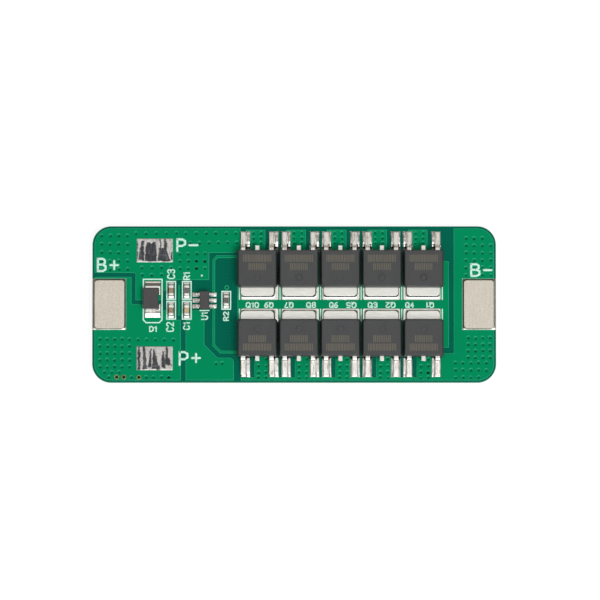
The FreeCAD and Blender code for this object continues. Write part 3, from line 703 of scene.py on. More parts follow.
def copperSkin(node, up=True):
    # pours with rounded edges, dimpled where a hole is closed by the mask
    top = nodeBox(node)[1].z
    bm = bmesh.new()
    thin = bm.verts.layers.float.new("thin")
    hole = bm.verts.layers.float.new("hole")
    chance = random.Random(5)
    used = 0
    for loop in (found for found in flatLoops(node, top) if area(found) >= pour["smallest"]):
        soft = min(1.0, 4 * area(loop) / perimeter(loop))  # narrow traces have narrow edges
        rings = []
        for distance, height, share in pour["edge"]:
            rings.append(ring(bm, inset(loop, distance * soft), top + height))
            for vert in rings[-1]:
                vert[thin] = share
        walls(bm, rings, False, False)
        inner = [v.co.to_2d() for v in rings[-1]]
        holes = []
        for point in (p for p in places if isInside(inner, p)):
            room = edgeDistance(inner, point) - vias["margin"]
            if room > vias["smallest"]:
                radius = min(vias["radius"], room) * chance.uniform(0.90, 1.0)
                holes.append((point, radius, chance.uniform(0.8, 1.08), chance.uniform(0.68, 1.0)))
        used += len(holes)
        filled(bm, inner, [circle(*point, radius, vias["sides"]) for point, radius, _, _ in holes], top)
        for point, radius, deep, dark in holes:
            # the holes left open in the mask have their shallow bowls painted black as the shade down the
            # bore
            if any((point - Vector(o)).length < vias["openReach"] for o in vias["openHoles"]):
                dark = vias["openDarkness"]
            bowl = [ring(bm, circle(*point, radius, vias["sides"]), top)]
            for share, drop, shade, pale in vias["bowl"]:
                height = top - min(drop * deep, vias["deepest"])
                bowl.append(ring(bm, circle(*point, radius * share, vias["sides"]), height))
                for vert in bowl[-1]:
                    # painted highlight on the far rim and painted shade on the near side, as light
                    # from the front would give them
                    far = (vert.co.y - point.y) / (radius * share)
                    vert[hole] = shade * dark * (vias["dark"][0] + vias["dark"][1] * far)
                    vert[thin] = pale * max(0.0, vias["thin"][0] + vias["thin"][1] * far)
            walls(bm, bowl, capLow=False)
    bmesh.ops.remove_doubles(bm, verts=bm.verts, dist=0.0004)
    if not up:
        bm.transform(Matrix.Translation((0, 0, top)) @ Matrix.Diagonal((1, 1, -1, 1)))
        bmesh.ops.reverse_faces(bm, faces=bm.faces)
    print(node, "holes:", used)
    return bm


finished(copperSkin("top_copper"), "copper_pours_top", "copperMask", "masked_copper", "top_copper")
bm = copperSkin("bottom_copper", up=False)
finished(bm, "copper_pours_bottom", "copperMask", "masked_copper", "bottom_copper")

topLoops = [loop for loop in flatLoops("top_copper", copperTop) if area(loop) > pour["smallest"]]


def surfaceHeight(x, y):
    # height of the masked surface under a point, softened where a pour ends
    point = Vector((x, y))
    for loop in topLoops:
        if isInside(loop, point):
            return copperTop - pour["drop"] * (1 - min(1.0, edgeDistance(loop, point) / pour["shoulder"]))
    return laminateTop


# Three holes left open in the mask, and the masked ring of one beside the last chip. Each step of
# the rim, the well and the floor: radius, counted from the outer one, the bore's and the middle,
# height above the ground and darkness, which is the painted shade down the bore
openRings = {
    "bare": [(-28.6, -11.75), (-27.4, -11.75), (-25.0, -11.75)],
    "masked": (-10.86, 2.72),
    "maskedLift": 0.03,
    "outer": 0.40,
    "bore": 0.24,
    "maskedBore": 0.168,
    "rim": [(0, -0.02, 0.0), (-0.02, 0.008, 0.0), (-0.05, 0.012, 0.0)],
    "well": [(0.04, 0.012, 0.0), (0, -0.003, 0.7), (-0.03, -0.02, 1.0)],
    "floor": (0.04, -0.025, 1.0),
    "thinMask": 0.6,
    "sides": 28,
}


def plateRing(bm, point, ground, bore):
    # a ring of plating, standing a little proud of its ground, with painted shade down its bore
    hole = bm.verts.layers.float.get("hole") or bm.verts.layers.float.new("hole")
    thin = bm.verts.layers.float.get("thin") or bm.verts.layers.float.new("thin")
    profile = [(openRings["outer"] + beyond, height, dark) for beyond, height, dark in openRings["rim"]]
    profile += [(bore + beyond, height, dark) for beyond, height, dark in openRings["well"]]
    rings = []
    for radius, height, dark in profile + [openRings["floor"]]:
        rings.append(ring(bm, circle(*point, radius, openRings["sides"]), ground + height))
        for vert in rings[-1]:
            vert[hole] = dark
            vert[thin] = openRings["thinMask"] * (1 - dark)
    walls(bm, rings, capLow=False)


bm = bmesh.new()
for spot in openRings["bare"]:
    plateRing(bm, min(places, key=lambda p: (p - Vector(spot)).length), copperTop, openRings["bore"])
finished(bm, "bare_hole_rings", "ring", "land")
bm = bmesh.new()
plateRing(bm, openRings["masked"], laminateTop + openRings["maskedLift"], openRings["maskedBore"])
finished(bm, "masked_hole_ring", "copperMask", "masked_copper")
print("board made,", len(places), "closed holes placed")


# Lands, weld plates and load pads

for node, look in (("solder_lands", "land"), ("legend_outlines", "ink")):
    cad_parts[node].data.materials.clear()
    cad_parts[node].data.materials.append(materials[look])

weldPlate = {"cornerRadius": 0.5, "edgeRound": 0.05}
weldPlates = ("battery_positive_plate", "battery_negative_plate")
for node in weldPlates:
    *span, low, high = nodeSpans(node)
    outline = roundedLoop(*span, weldPlate["cornerRadius"])
    bm = bmesh.new()
    stacked(bm, outline, roundedProfile(low, high, weldPlate["edgeRound"]))
    finished(bm, node.replace("plate", "weld_plate"), "nickel", "nickel", node)

plateSolder = {
    "sides": 120,
    "levels": 7,
    "hollow": 1.2,
    "edge": 0.30,
    "lump": 0.10,
    "lumpScale": 0.55,
    "rise": 0.19,
    "landRadius": 0.12,
    "lap": 0.02,
    "outerShare": 0.75,
    "outerFrom": 2.3,
    "nearWidth": 0.12,
}
bm = bmesh.new()
dullAndShade = bm.verts.layers.float.new("dullAndShade")
for number, (land, plate) in enumerate(zip(solidBoxes("plate_solder"), weldPlates)):
    low, high = nodeBox(plate)
    lap = plateSolder["lap"]
    foot = roundedLoop(low.x + lap, high.x - lap, low.y + lap, high.y - lap, weldPlate["cornerRadius"])
    outer = roundedLoop(*land[:4], plateSolder["landRadius"])
    outerFrom = abs(low.x + high.x) / 2 + plateSolder["outerFrom"]
    rings = fillet(bm, outer, foot, seat + plateSolder["rise"], plateSolder, 3 + number)
    for vert in (v for verts in rings for v in verts):
        # painted shade over the bead except along the near edge, which faces the light, and a little
        # less at the board's end
        share = plateSolder["outerShare"] if abs(vert.co.x) > outerFrom else 1.0
        vert[dullAndShade] = share * clamped((vert.co.y - low.y) / plateSolder["nearWidth"] + 1.0)
finished(bm, "plate_solder_bead", "plateSolder", "solder", "plate_solder")

# Load pads: levelled tin, scraped dark in upright smears. Each smear: x and y of its foot and of its
# tip from the middle of the pad, and its half width at both. The waves that bend, end and ripple
# them: size and fineness along x and y
pad = {
    "steps": (84, 56),
    "height": 0.030,
    "sunk": 0.03,
    "scrape": 0.016,
    "edgeFall": 0.11,
    "cleanRim": 0.16,
    "softness": 0.18,
    "overrun": 0.08,
    "bends": [(0.16, 1.6, 1.3), (0.07, 5.0, 3.0)],
    "ends": (0.30, 2.2, 0.8),
    "ripple": (0.006, 2.6, 1.2),
    "smears": {
        "output_negative_pad": [
            (-2.15, -1.60, -1.95, 1.60, 0.42, 0.26),
            (-2.80, -1.20, -2.82, 1.30, 0.12, 0.10),
            (-0.62, -1.65, -0.62, 1.15, 0.95, 0.80),
            (1.50, -1.60, 1.25, 0.40, 0.98, 0.60),
            (1.02, 0.20, 0.88, 1.95, 0.16, 0.08),
            (1.78, 0.20, 1.66, 1.95, 0.22, 0.16),
            (2.70, -1.40, 2.72, -0.20, 0.16, 0.08),
        ],
        "output_positive_pad": [
            (-2.55, -1.75, -2.50, 1.95, 0.26, 0.10),
            (-1.55, -1.70, -1.72, 1.90, 0.34, 0.14),
            (-0.78, -1.35, -0.62, 1.60, 0.32, 0.10),
            (0.10, -1.60, -0.05, 1.35, 0.52, 0.07),
            (0.62, -1.90, 0.55, -1.20, 0.30, 0.22),
            (1.42, -1.40, 1.36, 1.00, 0.36, 0.09),
            (2.02, -0.95, 1.95, 1.90, 0.34, 0.12),
            (2.25, -1.00, 2.20, -0.05, 0.46, 0.30),
        ],
    },
}


def smearAt(smears, x, y, seed):
    # 1 inside a smear, 0 outside, ragged between
    x += sum(wobble(x, y, seed + 4 * i, *wave) for i, wave in enumerate(pad["bends"]))
    y += wobble(x, y, seed + 9, *pad["ends"])
    most = 0.0
    for footX, footY, tipX, tipY, footHalf, tipHalf in smears:
        share = clamped((y - footY) / (tipY - footY))
        aside = abs(x - footX - (tipX - footX) * share) - footHalf - (tipHalf - footHalf) * share
        beyond = max(footY - y, y - tipY) - pad["overrun"]
        most = max(most, clamped(0.5 - max(aside, beyond) / pad["softness"]))
    return most


def padSheet(bm, box, smears, seed):
    dullAndShade = bm.verts.layers.float.new("dullAndShade")
    middle = middleOf(box)

    def vertAt(x, y, rim):
        smear = smearAt(smears, x - middle.x, y - middle.y, seed)
        border = math.sin(min(1.0, rim / pad["edgeFall"]) * math.pi / 2)
        ripple = wobble(x, y, seed + 2, *pad["ripple"])
        rise = (pad["height"] + pad["sunk"] + ripple - pad["scrape"] * smear) * border
        vert = bm.verts.new((x, y, copperTop - pad["sunk"] + rise))
        vert[dullAndShade] = smear * min(1.0, rim / pad["cleanRim"])
        return vert

    sheet(bm, box, pad["steps"], vertAt)


for number, (node, smears) in enumerate(pad["smears"].items()):
    bm = bmesh.new()
    padSheet(bm, nodeSpans(node), smears, 2.3 + 6.3 * number)
    finished(bm, node.replace("pad", "tinned_pad"), "pad", "tinned_pad", node, flatFaces=False)
print("terminals made")


# Power transistors

# name of each transistor, and the side of its tab along y: the upper row's tabs point down
transistors = [(f"transistor_{number:02d}", -1 if number <= 5 else 1) for number in range(1, 11)]

# Each step of the dish that the mould's pin leaves: distance from its rim and share of its depth
case = {
    "parting": 0.77,
    "flash": 0.07,
    "topDrop": 0.004,
    "draft": 8.5,
    "cornerCut": 0.30,
    "edgeRound": 0.08,
    "markRadius": 0.60,
    "markOffset": 1.45,
    "markDepth": 0.11,
    "markShares": (0.45, 0.75, 0.35, 0.65, 1.0, 0.45, 0.55, 0.45, 0.40, 0.50),  # one for each transistor
    "markSides": 36,
    "dish": [(0.05, 0.9), (0.08, 1.0), (0.13, 1.0), (0.22, 0.40), (0.28, 0.35)],
}


def mouldedCase(bm, box, look, tabSide=0):
    # body that tapers both ways from its parting line; the corners on the tab's side are cut
    xLow, xHigh, yLow, yHigh, zLow, zHigh = box
    slope = math.tan(math.radians(look["draft"]))

    def sectionAt(distance):
        # the flash at the parting line stands out at the sides only
        x0, x1, y0, y1 = xLow + distance, xHigh - distance, yLow + max(distance, 0), yHigh - max(distance, 0)
        points = []
        for x, y, sx, sy in ((x0, y0, 1, 1), (x1, y0, -1, 1), (x1, y1, -1, -1), (x0, y1, 1, -1)):
            if sy == -tabSide:
                pair = [Vector((x, y + sy * look["cornerCut"])), Vector((x + sx * look["cornerCut"], y))]
                points += pair if sx == sy else pair[::-1]
            else:
                points.append(Vector((x, y)))
        return points

    parting = zLow + look["parting"]
    profile = [(look["parting"] * slope, zLow), (-look["flash"], parting), ((zHigh - parting) * slope, zHigh)]
    walls(bm, [ring(bm, sectionAt(distance), height) for distance, height in profile])
    bm.normal_update()
    bevelled(bm, sharpEdges(bm, 35), look["edgeRound"], 3)


def ejectorMark(bm, x, y, top, depth):
    # shallow round dish pressed into the flat top
    flat = [f for f in bm.faces if f.normal.z > 0.999 and f.calc_center_median().z > top - 0.001]
    face = max(flat, key=lambda f: f.calc_area())
    outer = [v.co.copy() for v in face.verts]
    bmesh.ops.delete(bm, geom=[face], context="FACES_ONLY")
    rim = circle(x, y, case["markRadius"], case["markSides"])
    filled(bm, outer, [rim], top)
    rings = [ring(bm, rim, top)]
    for distance, share in case["dish"]:
        loop = circle(x, y, case["markRadius"] - distance, case["markSides"])
        rings.append(ring(bm, loop, top - share * depth))
    walls(bm, rings, capLow=False)
    bmesh.ops.remove_doubles(bm, verts=bm.verts, dist=0.0003)
    bm.normal_update()
    for edge in sharpEdges(bm, 50):
        edge.smooth = False


for (name, tabSide), share in zip(transistors, case["markShares"]):
    *span, low, high = nodeSpans(name + "_body")
    middle, top = middleOf(span), high - case["topDrop"]
    bm = bmesh.new()
    mouldedCase(bm, (*span, low, top), case, tabSide)
    ejectorMark(bm, middle.x, middle.y + tabSide * case["markOffset"], top, share * case["markDepth"])
    finished(bm, name + "_case", "case", "moulded_epoxy", name + "_body")

# Rows of plain upright dashes, faintly burnt into the cases. Each row: number of pairs, length and
# height of the row and its distance from the middle of the case
dashes = {
    "rows": [(9, 4.60, 1.15, 1.58), (5, 2.95, 1.10, 0.22)],
    "width": 0.15,
    "apart": 0.14,
    "cornerRadius": 0.03,
    "depth": 0.015,
}
bm = bmesh.new()
for name, tabSide in transistors:
    box = nodeSpans(name + "_body")
    for pairs, length, tall, offset in dashes["rows"]:
        x, y = middleOf(box).x, middleOf(box).y - tabSide * offset
        for i, side in ((i, side) for i in range(pairs) for side in (-1, 1)):
            left = x + length * ((i + 0.5) / pairs - 0.5) + side * dashes["apart"] - dashes["width"] / 2
            span = (left, left + dashes["width"], y - tall / 2, y + tall / 2)
            loop = roundedLoop(*span, dashes["cornerRadius"], 2)
            stacked(bm, loop, [(0, box[5] - dashes["depth"]), (0, box[5])])
finished(bm, "case_marks", "mark", "moulded_epoxy")

tab = {
    "cornerRadius": 0.62,
    "hiddenRadius": 0.05,
    "edgeRound": 0.05,
    "thickness": 0.50,
    "stubRound": 0.08,
    "stubWidth": 0.72,
    "stubLow": 0.77,
    "stubInside": 0.6,
}
lead = {
    "thickness": 0.50,
    "edgeRound": 0.08,
    "bend": 0.27,
    "bendSteps": 6,
    "slope": 84,
    "foot": 2.02,
    "footTilt": 0.06,
    "tiltLength": 1.9,
    "toe": 0.05,
}


def gullWing(bm, box, side):
    # a strip bent down from the case to its land; side is the way it points along y
    xLow, xHigh, yLow, yHigh, zLow, zHigh = box
    root, length = yLow if side > 0 else yHigh, yHigh - yLow
    half, bend, steps = lead["thickness"] / 2, lead["bend"], lead["bendSteps"]
    slope = math.radians(lead["slope"])
    top, bottom = zHigh - half, zLow + half
    drop = top - bottom - 2 * bend * (1 - math.cos(slope))
    run = 2 * bend * math.sin(slope) + drop / math.tan(slope)
    start = length - lead["foot"] - run
    # middle line: distance from the root, height and slope
    path = [(0.0, top, 0.0), (start * 0.5, top, 0.0)]
    for angle in (slope * i / steps for i in range(steps + 1)):
        path.append((start + bend * math.sin(angle), top - bend * (1 - math.cos(angle)), -angle))
    for angle in (slope * (1 - i / steps) for i in range(steps + 1)):
        path.append((start + run - bend * math.sin(angle), bottom + bend * (1 - math.cos(angle)), -angle))
    path += [(length - lead["toe"], bottom, 0.0), (length, bottom, 0.0)]
    middle, halfWidth = (xLow + xHigh) / 2, (xHigh - xLow) / 2
    rings = []
    for onward, height, angle in path:
        small = lead["toe"] if onward == length else 0.0
        sink = lead["footTilt"] * max(0.0, (onward - start - run) / lead["tiltLength"])
        wide, tall = halfWidth - small, half - small
        verts = []
        for p in roundedLoop(-wide, wide, -tall, tall, lead["edgeRound"], 3):
            up = p.y * (1 - sink / half * 0.5) - (sink * 0.5 if p.y > 0 else 0.0)
            y, z = root + side * (onward - up * math.sin(angle)), height + up * math.cos(angle)
            verts.append(bm.verts.new((middle + p.x, y, z)))
        rings.append(verts)
    walls(bm, rings)


def tabLoop(xLow, xHigh, outer, inner, radius):
    # outline of a tab from its free end, at outer, to a line inside the case
    hidden = tab["hiddenRadius"]
    if outer < inner:
        return roundedLoop(xLow, xHigh, outer, inner, (radius, radius, hidden, hidden))
    return roundedLoop(xLow, xHigh, inner, outer, (hidden, hidden, radius, radius))


for name, tabSide in transistors:
    low, high = nodeBox(name + "_drain_tab")
    caseLow, caseHigh = nodeBox(name + "_body")
    free, stubEnd = (low.y, high.y) if tabSide < 0 else (high.y, low.y)
    back = caseHigh.y if tabSide < 0 else caseLow.y  # where the leads leave the case
    loop = tabLoop(low.x, high.x, free, (caseLow.y + caseHigh.y) / 2, tab["cornerRadius"])
    bm = bmesh.new()
    stacked(bm, loop, roundedProfile(low.z, low.z + tab["thickness"], tab["edgeRound"]))
    x, bottom = (low.x + high.x) / 2 - tab["stubWidth"] / 2, low.z + tab["stubLow"]
    stubY = sorted((back + tabSide * tab["stubInside"], stubEnd))
    roundedBox(bm, (x, x + tab["stubWidth"], *stubY, bottom, bottom + tab["thickness"]), tab["stubRound"], 2)
    finished(bm, name + "_tab_and_stub", "tab", "leadframe", name + "_drain_tab")
    bm = bmesh.new()
    for box in solidBoxes(name + "_leads"):
        gullWing(bm, box, -tabSide)
    finished(bm, name + "_lead_pair", "lead", "leadframe", name + "_leads")


def pool(bm, land, look, heightAt):
    # skin of solder over a land, rounded off at the rim; heightAt gives its height above the land
    sunk = 0.004

    def vertAt(x, y, rim):
        fall = math.sin(min(1.0, rim / look["fall"]) * math.pi / 2)
        return bm.verts.new((x, y, copperTop - sunk + (sunk + heightAt(x, y)) * fall))

    sheet(bm, land, look["steps"], vertAt)


def along(points, at):
    # height at a place on a run of (place, height) points, eased between them
    for (a, low), (b, high) in zip(points, points[1:]):
        if at <= b:
            share = max(0.0, (at - a) / (b - a))
            return low + (high - low) * share * share * (3 - 2 * share)
    return points[-1][1]


# The solder holds to the side of each foot and heaps up beside it towards the case; the heels are
# painted dark as the case's shade. What differs between the rows goes by the side of the tab, -1 for
# the upper row
leadSolder = {
    "steps": (22, 44),
    "fall": 0.13,
    "skin": 0.035,
    "hold": 0.27,
    "reach": 0.24,
    "holdOver": 0.4,
    "heapOver": 0.25,
    "lump": (0.030, 1.7, 1.3),  # size, and fineness along x and y
    "heap": {
        -1: [(0.0, 0.0), (0.62, 0.02), (0.95, 0.15), (1.75, 0.33), (2.20, 0.27), (3.05, 0.10), (3.4, 0.06)],
        1: [(0.0, 0.10), (0.40, 0.12), (1.00, 0.14), (1.60, 0.17), (2.40, 0.15), (3.05, 0.08), (3.4, 0.05)],
    },
    "holdFrom": {-1: 1.0, 1: 0.1},
    "shadeUpTo": {-1: 9.16, 1: 8.60},
    "shadeFade": 0.18,
}
bm = bmesh.new()
dullAndShade = bm.verts.layers.float.new("dullAndShade")
for number, (name, tabSide) in enumerate(transistors, 1):
    for xLow, xHigh, yLow, yHigh, _, _ in solidBoxes(name + "_leads"):
        x, y = (xLow + xHigh) / 2, yHigh - 0.6 if tabSide < 0 else yLow + 0.6  # well within its land
        land = next(b for b in landBoxes if b[0] < x < b[1] and b[2] < y < b[3] and b[1] - b[0] < 2)

        def leadSkin(x, y):
            onward = y - land[2] if tabSide < 0 else land[3] - y
            aside = max(xLow - x, x - xHigh, 0.0)
            held = leadSolder["hold"] * math.exp(-((aside / leadSolder["reach"]) ** 2))
            held *= clamped((onward - leadSolder["holdFrom"][tabSide]) / leadSolder["holdOver"])
            heaped = along(leadSolder["heap"][tabSide], onward) * min(1.0, aside / leadSolder["heapOver"])
            lump = wobble(x, y, number, *leadSolder["lump"])
            return leadSolder["skin"] + max(held, heaped) + lump * min(1.0, onward)

        pool(bm, land, leadSolder, leadSkin)
# painted shade on the solder towards and under the case, fading out along each land
for vert in bm.verts:
    shadeUpTo = leadSolder["shadeUpTo"][-1 if vert.co.y > 0 else 1]
    vert[dullAndShade] = clamped(1.0 - (abs(vert.co.y) - shadeUpTo) / leadSolder["shadeFade"])
finished(bm, "lead_solder", "solder", "solder", "transistor_lead_solder", flatFaces=False)

tabSolder = {
    "sides": 130,
    "levels": 12,
    "hollow": 5.0,
    "edge": 0.20,
    "lump": 0.05,
    "lumpScale": 0.6,
    "rise": 0.42,
    "landRadius": 0.18,
    "inside": (0.50, 0.45),  # how far the outer and the inner outline reach under the case
    "darkening": [0.0, 0.45, 0.9, 1.0],  # on the last rings, close to the tab
}
bm = bmesh.new()
dullAndShade = bm.verts.layers.float.new("dullAndShade")
for number, (name, tabSide) in enumerate(transistors, 1):
    xLow, xHigh, yLow, yHigh, _, _ = nodeSpans(name + "_drain_tab")
    box = nodeSpans(name + "_body")
    centre = middleOf(box)
    land = next(b for b in tabLands if b[0] < (xLow + xHigh) / 2 < b[1] and middleOf(b).y * centre.y > 0)
    front, free, landEnd = (box[2], yLow, land[2]) if tabSide < 0 else (box[3], yHigh, land[3])
    under = [front - tabSide * distance for distance in tabSolder["inside"]]
    outer = roundedLoop(*land[:2], *sorted((landEnd, under[0])), tabSolder["landRadius"])
    inner = tabLoop(xLow, xHigh, free, under[1], tab["cornerRadius"])
    rings = fillet(bm, outer, inner, seat + tabSolder["rise"], tabSolder, number)
    # painted shade along the crease where the solder meets the tab's edge
    for verts, share in zip(rings[-4:], tabSolder["darkening"]):
        for vert in verts:
            vert[dullAndShade] = share
finished(bm, "tab_solder", "solder", "solder", "transistor_tab_solder")
print("transistors made")


# Small parts

chip = {"edgeRound": 0.06, "blockRound": 0.048, "coatRound": 0.012, "capLength": 0.38}
# ending of the node under the caps, its finish and its slot
chips = {
    "capacitor_1": ("_block", "paleCeramic", "capacitor_ceramic"),
    "capacitor_2": ("_block", "ceramic", "capacitor_ceramic"),
    "capacitor_3": ("_block", "ceramic", "capacitor_ceramic"),
    "resistor_1": ("_substrate", "alumina", "alumina"),
    "resistor_2": ("_substrate", "alumina", "alumina"),
}


def endSpans(box, length):
    # the two ends of a chip along y
    return [(*box[:2], box[2], box[2] + length, *box[4:]), (*box[:2], box[3] - length, box[3], *box[4:])]


for name, (part, look, slotName) in chips.items():
    bm = bmesh.new()
    for end in endSpans(nodeSpans(name + "_end_caps"), chip["capLength"]):
        roundedBox(bm, end, chip["edgeRound"])
    finished(bm, name + "_caps", "cap", "end_cap", name + "_end_caps")
    bm = bmesh.new()
    roundedBox(bm, nodeSpans(name + part), chip["blockRound"])
    finished(bm, name + "_ceramic", look, slotName, name + part)
    if part == "_substrate":
        bm = bmesh.new()
        roundedBox(bm, nodeSpans(name + "_coat"), chip["coatRound"], 2)
        finished(bm, name + "_glaze", "coat", "resistor_coat", name + "_coat")

smallCases = {
    "controller": {"parting": 0.55, "flash": 0.0, "draft": 7.5, "edgeRound": 0.04},
    "diode": {"parting": 0.45, "flash": 0.0, "draft": 7.5, "edgeRound": 0.05},
}
for name, look in smallCases.items():
    bm = bmesh.new()
    mouldedCase(bm, nodeSpans(name + "_body"), look)
    finished(bm, name + "_case", "smallCase", "moulded_epoxy", name + "_body")
controllerLead = {"edgeRound": 0.03, "foot": 0.34}
bm = cadMesh("controller_leads")
bevelled(bm, sharpEdges(bm, 40), controllerLead["edgeRound"], 2)
finished(bm, "controller_pin_leads", "lead", "leadframe", "controller_leads")

# Diode terminals: flat where they leave the case, then pressed thinner towards the tip. For each
# end: length of the flat part and height left at the tip
terminals = {1: (0.20, 0.03), -1: (0.50, 0.08)}
diodeLow, diodeHigh = nodeBox("diode_body")
bm = bmesh.new()
for box in solidBoxes("diode_terminals"):
    side = 1 if box[2] + box[3] > diodeLow.y + diodeHigh.y else -1
    root, tip = box[2:4] if side > 0 else (box[3], box[2])
    flat, thin = terminals[side]
    bend = (diodeHigh.y if side > 0 else diodeLow.y) + side * flat
    section = [(root, box[4]), (root, box[5]), (bend, box[5]), (tip, box[4] + thin), (tip, box[4])]
    walls(bm, [[bm.verts.new((x, y, z)) for y, z in section] for x in box[:2]])
finished(bm, "diode_tin_terminals", "lead", "leadframe", "diode_terminals")

smallSolder = {
    "sides": 40,
    "levels": 8,
    "edge": 0.18,
    "lump": 0.08,
    "lumpScale": 2.2,
    "chipFoot": 0.30,
    "chipRise": 0.42,  # share of the chip's height
    "chipHollow": 4.5,
    "leadRise": 0.13,
    "leadHollow": 1.8,
    "landRadius": 0.08,
    "footRadius": 0.04,
    "darkerBeside": 0.70,
    "darkerAtSide": 0.3,
    "darkerFade": 0.06,
}
bm = bmesh.new()
dullAndShade = bm.verts.layers.float.new("dullAndShade")
smallFeet = []
for name in chips:
    for end in endSpans(nodeSpans(name + "_end_caps"), smallSolder["chipFoot"]):
        rise = smallSolder["chipRise"] * (end[5] - end[4])
        smallFeet.append((end, rise, smallSolder["chipHollow"], smallSolder["darkerBeside"]))
for box in solidBoxes("controller_leads"):
    onRight = middleOf(box).x > middleOf(nodeSpans("controller_body")).x
    length = controllerLead["foot"]
    spanX = (box[1] - length, box[1]) if onRight else (box[0], box[0] + length)
    smallFeet.append(((*spanX, *box[2:4]), smallSolder["leadRise"], smallSolder["leadHollow"], 0.0))
for number, (foot, rise, hollow, darkening) in enumerate(smallFeet):
    middle = middleOf(foot)
    land = min(landBoxes, key=lambda b: (middleOf(b) - middle).length)
    outer = roundedLoop(*land[:4], smallSolder["landRadius"])
    inner = roundedLoop(*foot[:4], smallSolder["footRadius"])
    rings = fillet(bm, outer, inner, seat + rise, {**smallSolder, "hollow": hollow}, number)
    for vert in (v for verts in rings for v in verts):
        # the solder is made darker at the long sides of the chips
        beside = abs(vert.co.x - middle.x) - (foot[1] - foot[0]) / 2
        vert[dullAndShade] = darkening * clamped(beside / smallSolder["darkerFade"] + smallSolder["darkerAtSide"])

# Height of the diode's solder at distances from its case, and how much darker it is there
diodeSolder = {
    "steps": (34, 44),
    "fall": 0.11,
    "slope": {
        1: [(0.0, 0.28), (0.25, 0.28), (0.86, 0.07), (1.14, 0.06)],
        -1: [(0.0, 0.10), (0.42, 0.12), (0.56, 0.23), (0.64, 0.24), (1.34, 0.06), (1.40, 0.06)],
    },
    "darkening": {
        1: [(0.0, 0.0), (0.26, 0.0), (0.36, 0.62), (0.74, 0.72), (0.90, 0.0), (1.2, 0.0)],
        -1: [(0.0, 0.0), (1.4, 0.0)],
    },
    "inside": 0.06,
    "aside": 0.12,
    "lump": (0.01, 2.0, 2.0),  # size, and fineness along x and y
}
for land in (b for b in landBoxes if 2.5 < b[1] - b[0] < 2.7):  # the diode's two, known by their width
    side = 1 if land[2] > 0.5 else -1

    def diodeSkin(x, y):
        onward = y - diodeHigh.y if side > 0 else diodeLow.y - y
        lump = wobble(x, y, side, *diodeSolder["lump"])
        if onward > 0:
            return along(diodeSolder["slope"][side], onward) + lump
        return diodeSolder["inside"] if x < diodeHigh.x else diodeSolder["aside"] + lump

    already = len(bm.verts)
    pool(bm, land, diodeSolder, diodeSkin)
    for vert in list(bm.verts)[already:]:
        onward = vert.co.y - diodeHigh.y if side > 0 else diodeLow.y - vert.co.y
        vert[dullAndShade] = along(diodeSolder["darkening"][side], max(0.0, onward))
finished(bm, "small_solder", "solder", "solder", "small_part_solder")
print("small parts made")


# Printed letters

# Each letter: width and its strokes, in hundredths of the height
glyphs = {
    "B": (66, "0,0 0,100 42,100 60,88 60,66 42,53 0,53", "42,53 66,40 66,14 44,0 0,0"),
    "P": (62, "0,0 0,100 40,100 62,86 62,58 40,44 0,44"),
    "C": (62, "62,80 46,100 16,100 0,80 0,20 16,0 46,0 62,20"),
    "D": (62, "0,0 0,100 36,100 62,76 62,24 36,0 0,0"),
    "R": (64, "0,0 0,100 40,100 62,86 62,62 40,48 0,48", "30,48 64,0"),
    "U": (62, "0,100 0,20 16,0 46,0 62,20 62,100"),
    "Q": (70, "18,0 0,20 0,80 18,100 50,100 68,80 68,20 50,0 18,0", "42,28 72,-6"),
    "0": (60, "16,0 0,20 0,80 16,100 44,100 60,80 60,20 44,0 16,0"),
    "1": (26, "0,80 22,100 22,0"),
    "2": (60, "0,78 16,100 44,100 60,82 60,62 0,0 60,0"),
    "3": (60, "0,84 16,100 44,100 60,84 60,66 44,53 22,53", "44,53 60,38 60,16 44,0 16,0 0,16"),
    "4": (62, "46,0 46,100 0,32 62,32"),
    "5": (60, "56,100 6,100 2,56 40,60 60,42 60,18 42,0 14,0 0,14"),
    "6": (60, "52,100 24,90 0,50 0,18 16,0 44,0 60,18 60,38 44,54 16,54 2,40"),
    "7": (60, "0,100 60,100 22,0"),
    "8": (60, "18,53 2,68 2,86 16,100 44,100 58,86 58,68 42,53 18,53 0,36 0,16 16,0 44,0 60,16 60,36 42,53"),
    "9": (60, "8,0 36,10 60,50 60,82 44,100 16,100 0,82 0,62 16,46 44,46 58,60"),
    "+": (80, "0,50 80,50", "40,10 40,90"),
    "-": (80, "0,50 80,50"),
}

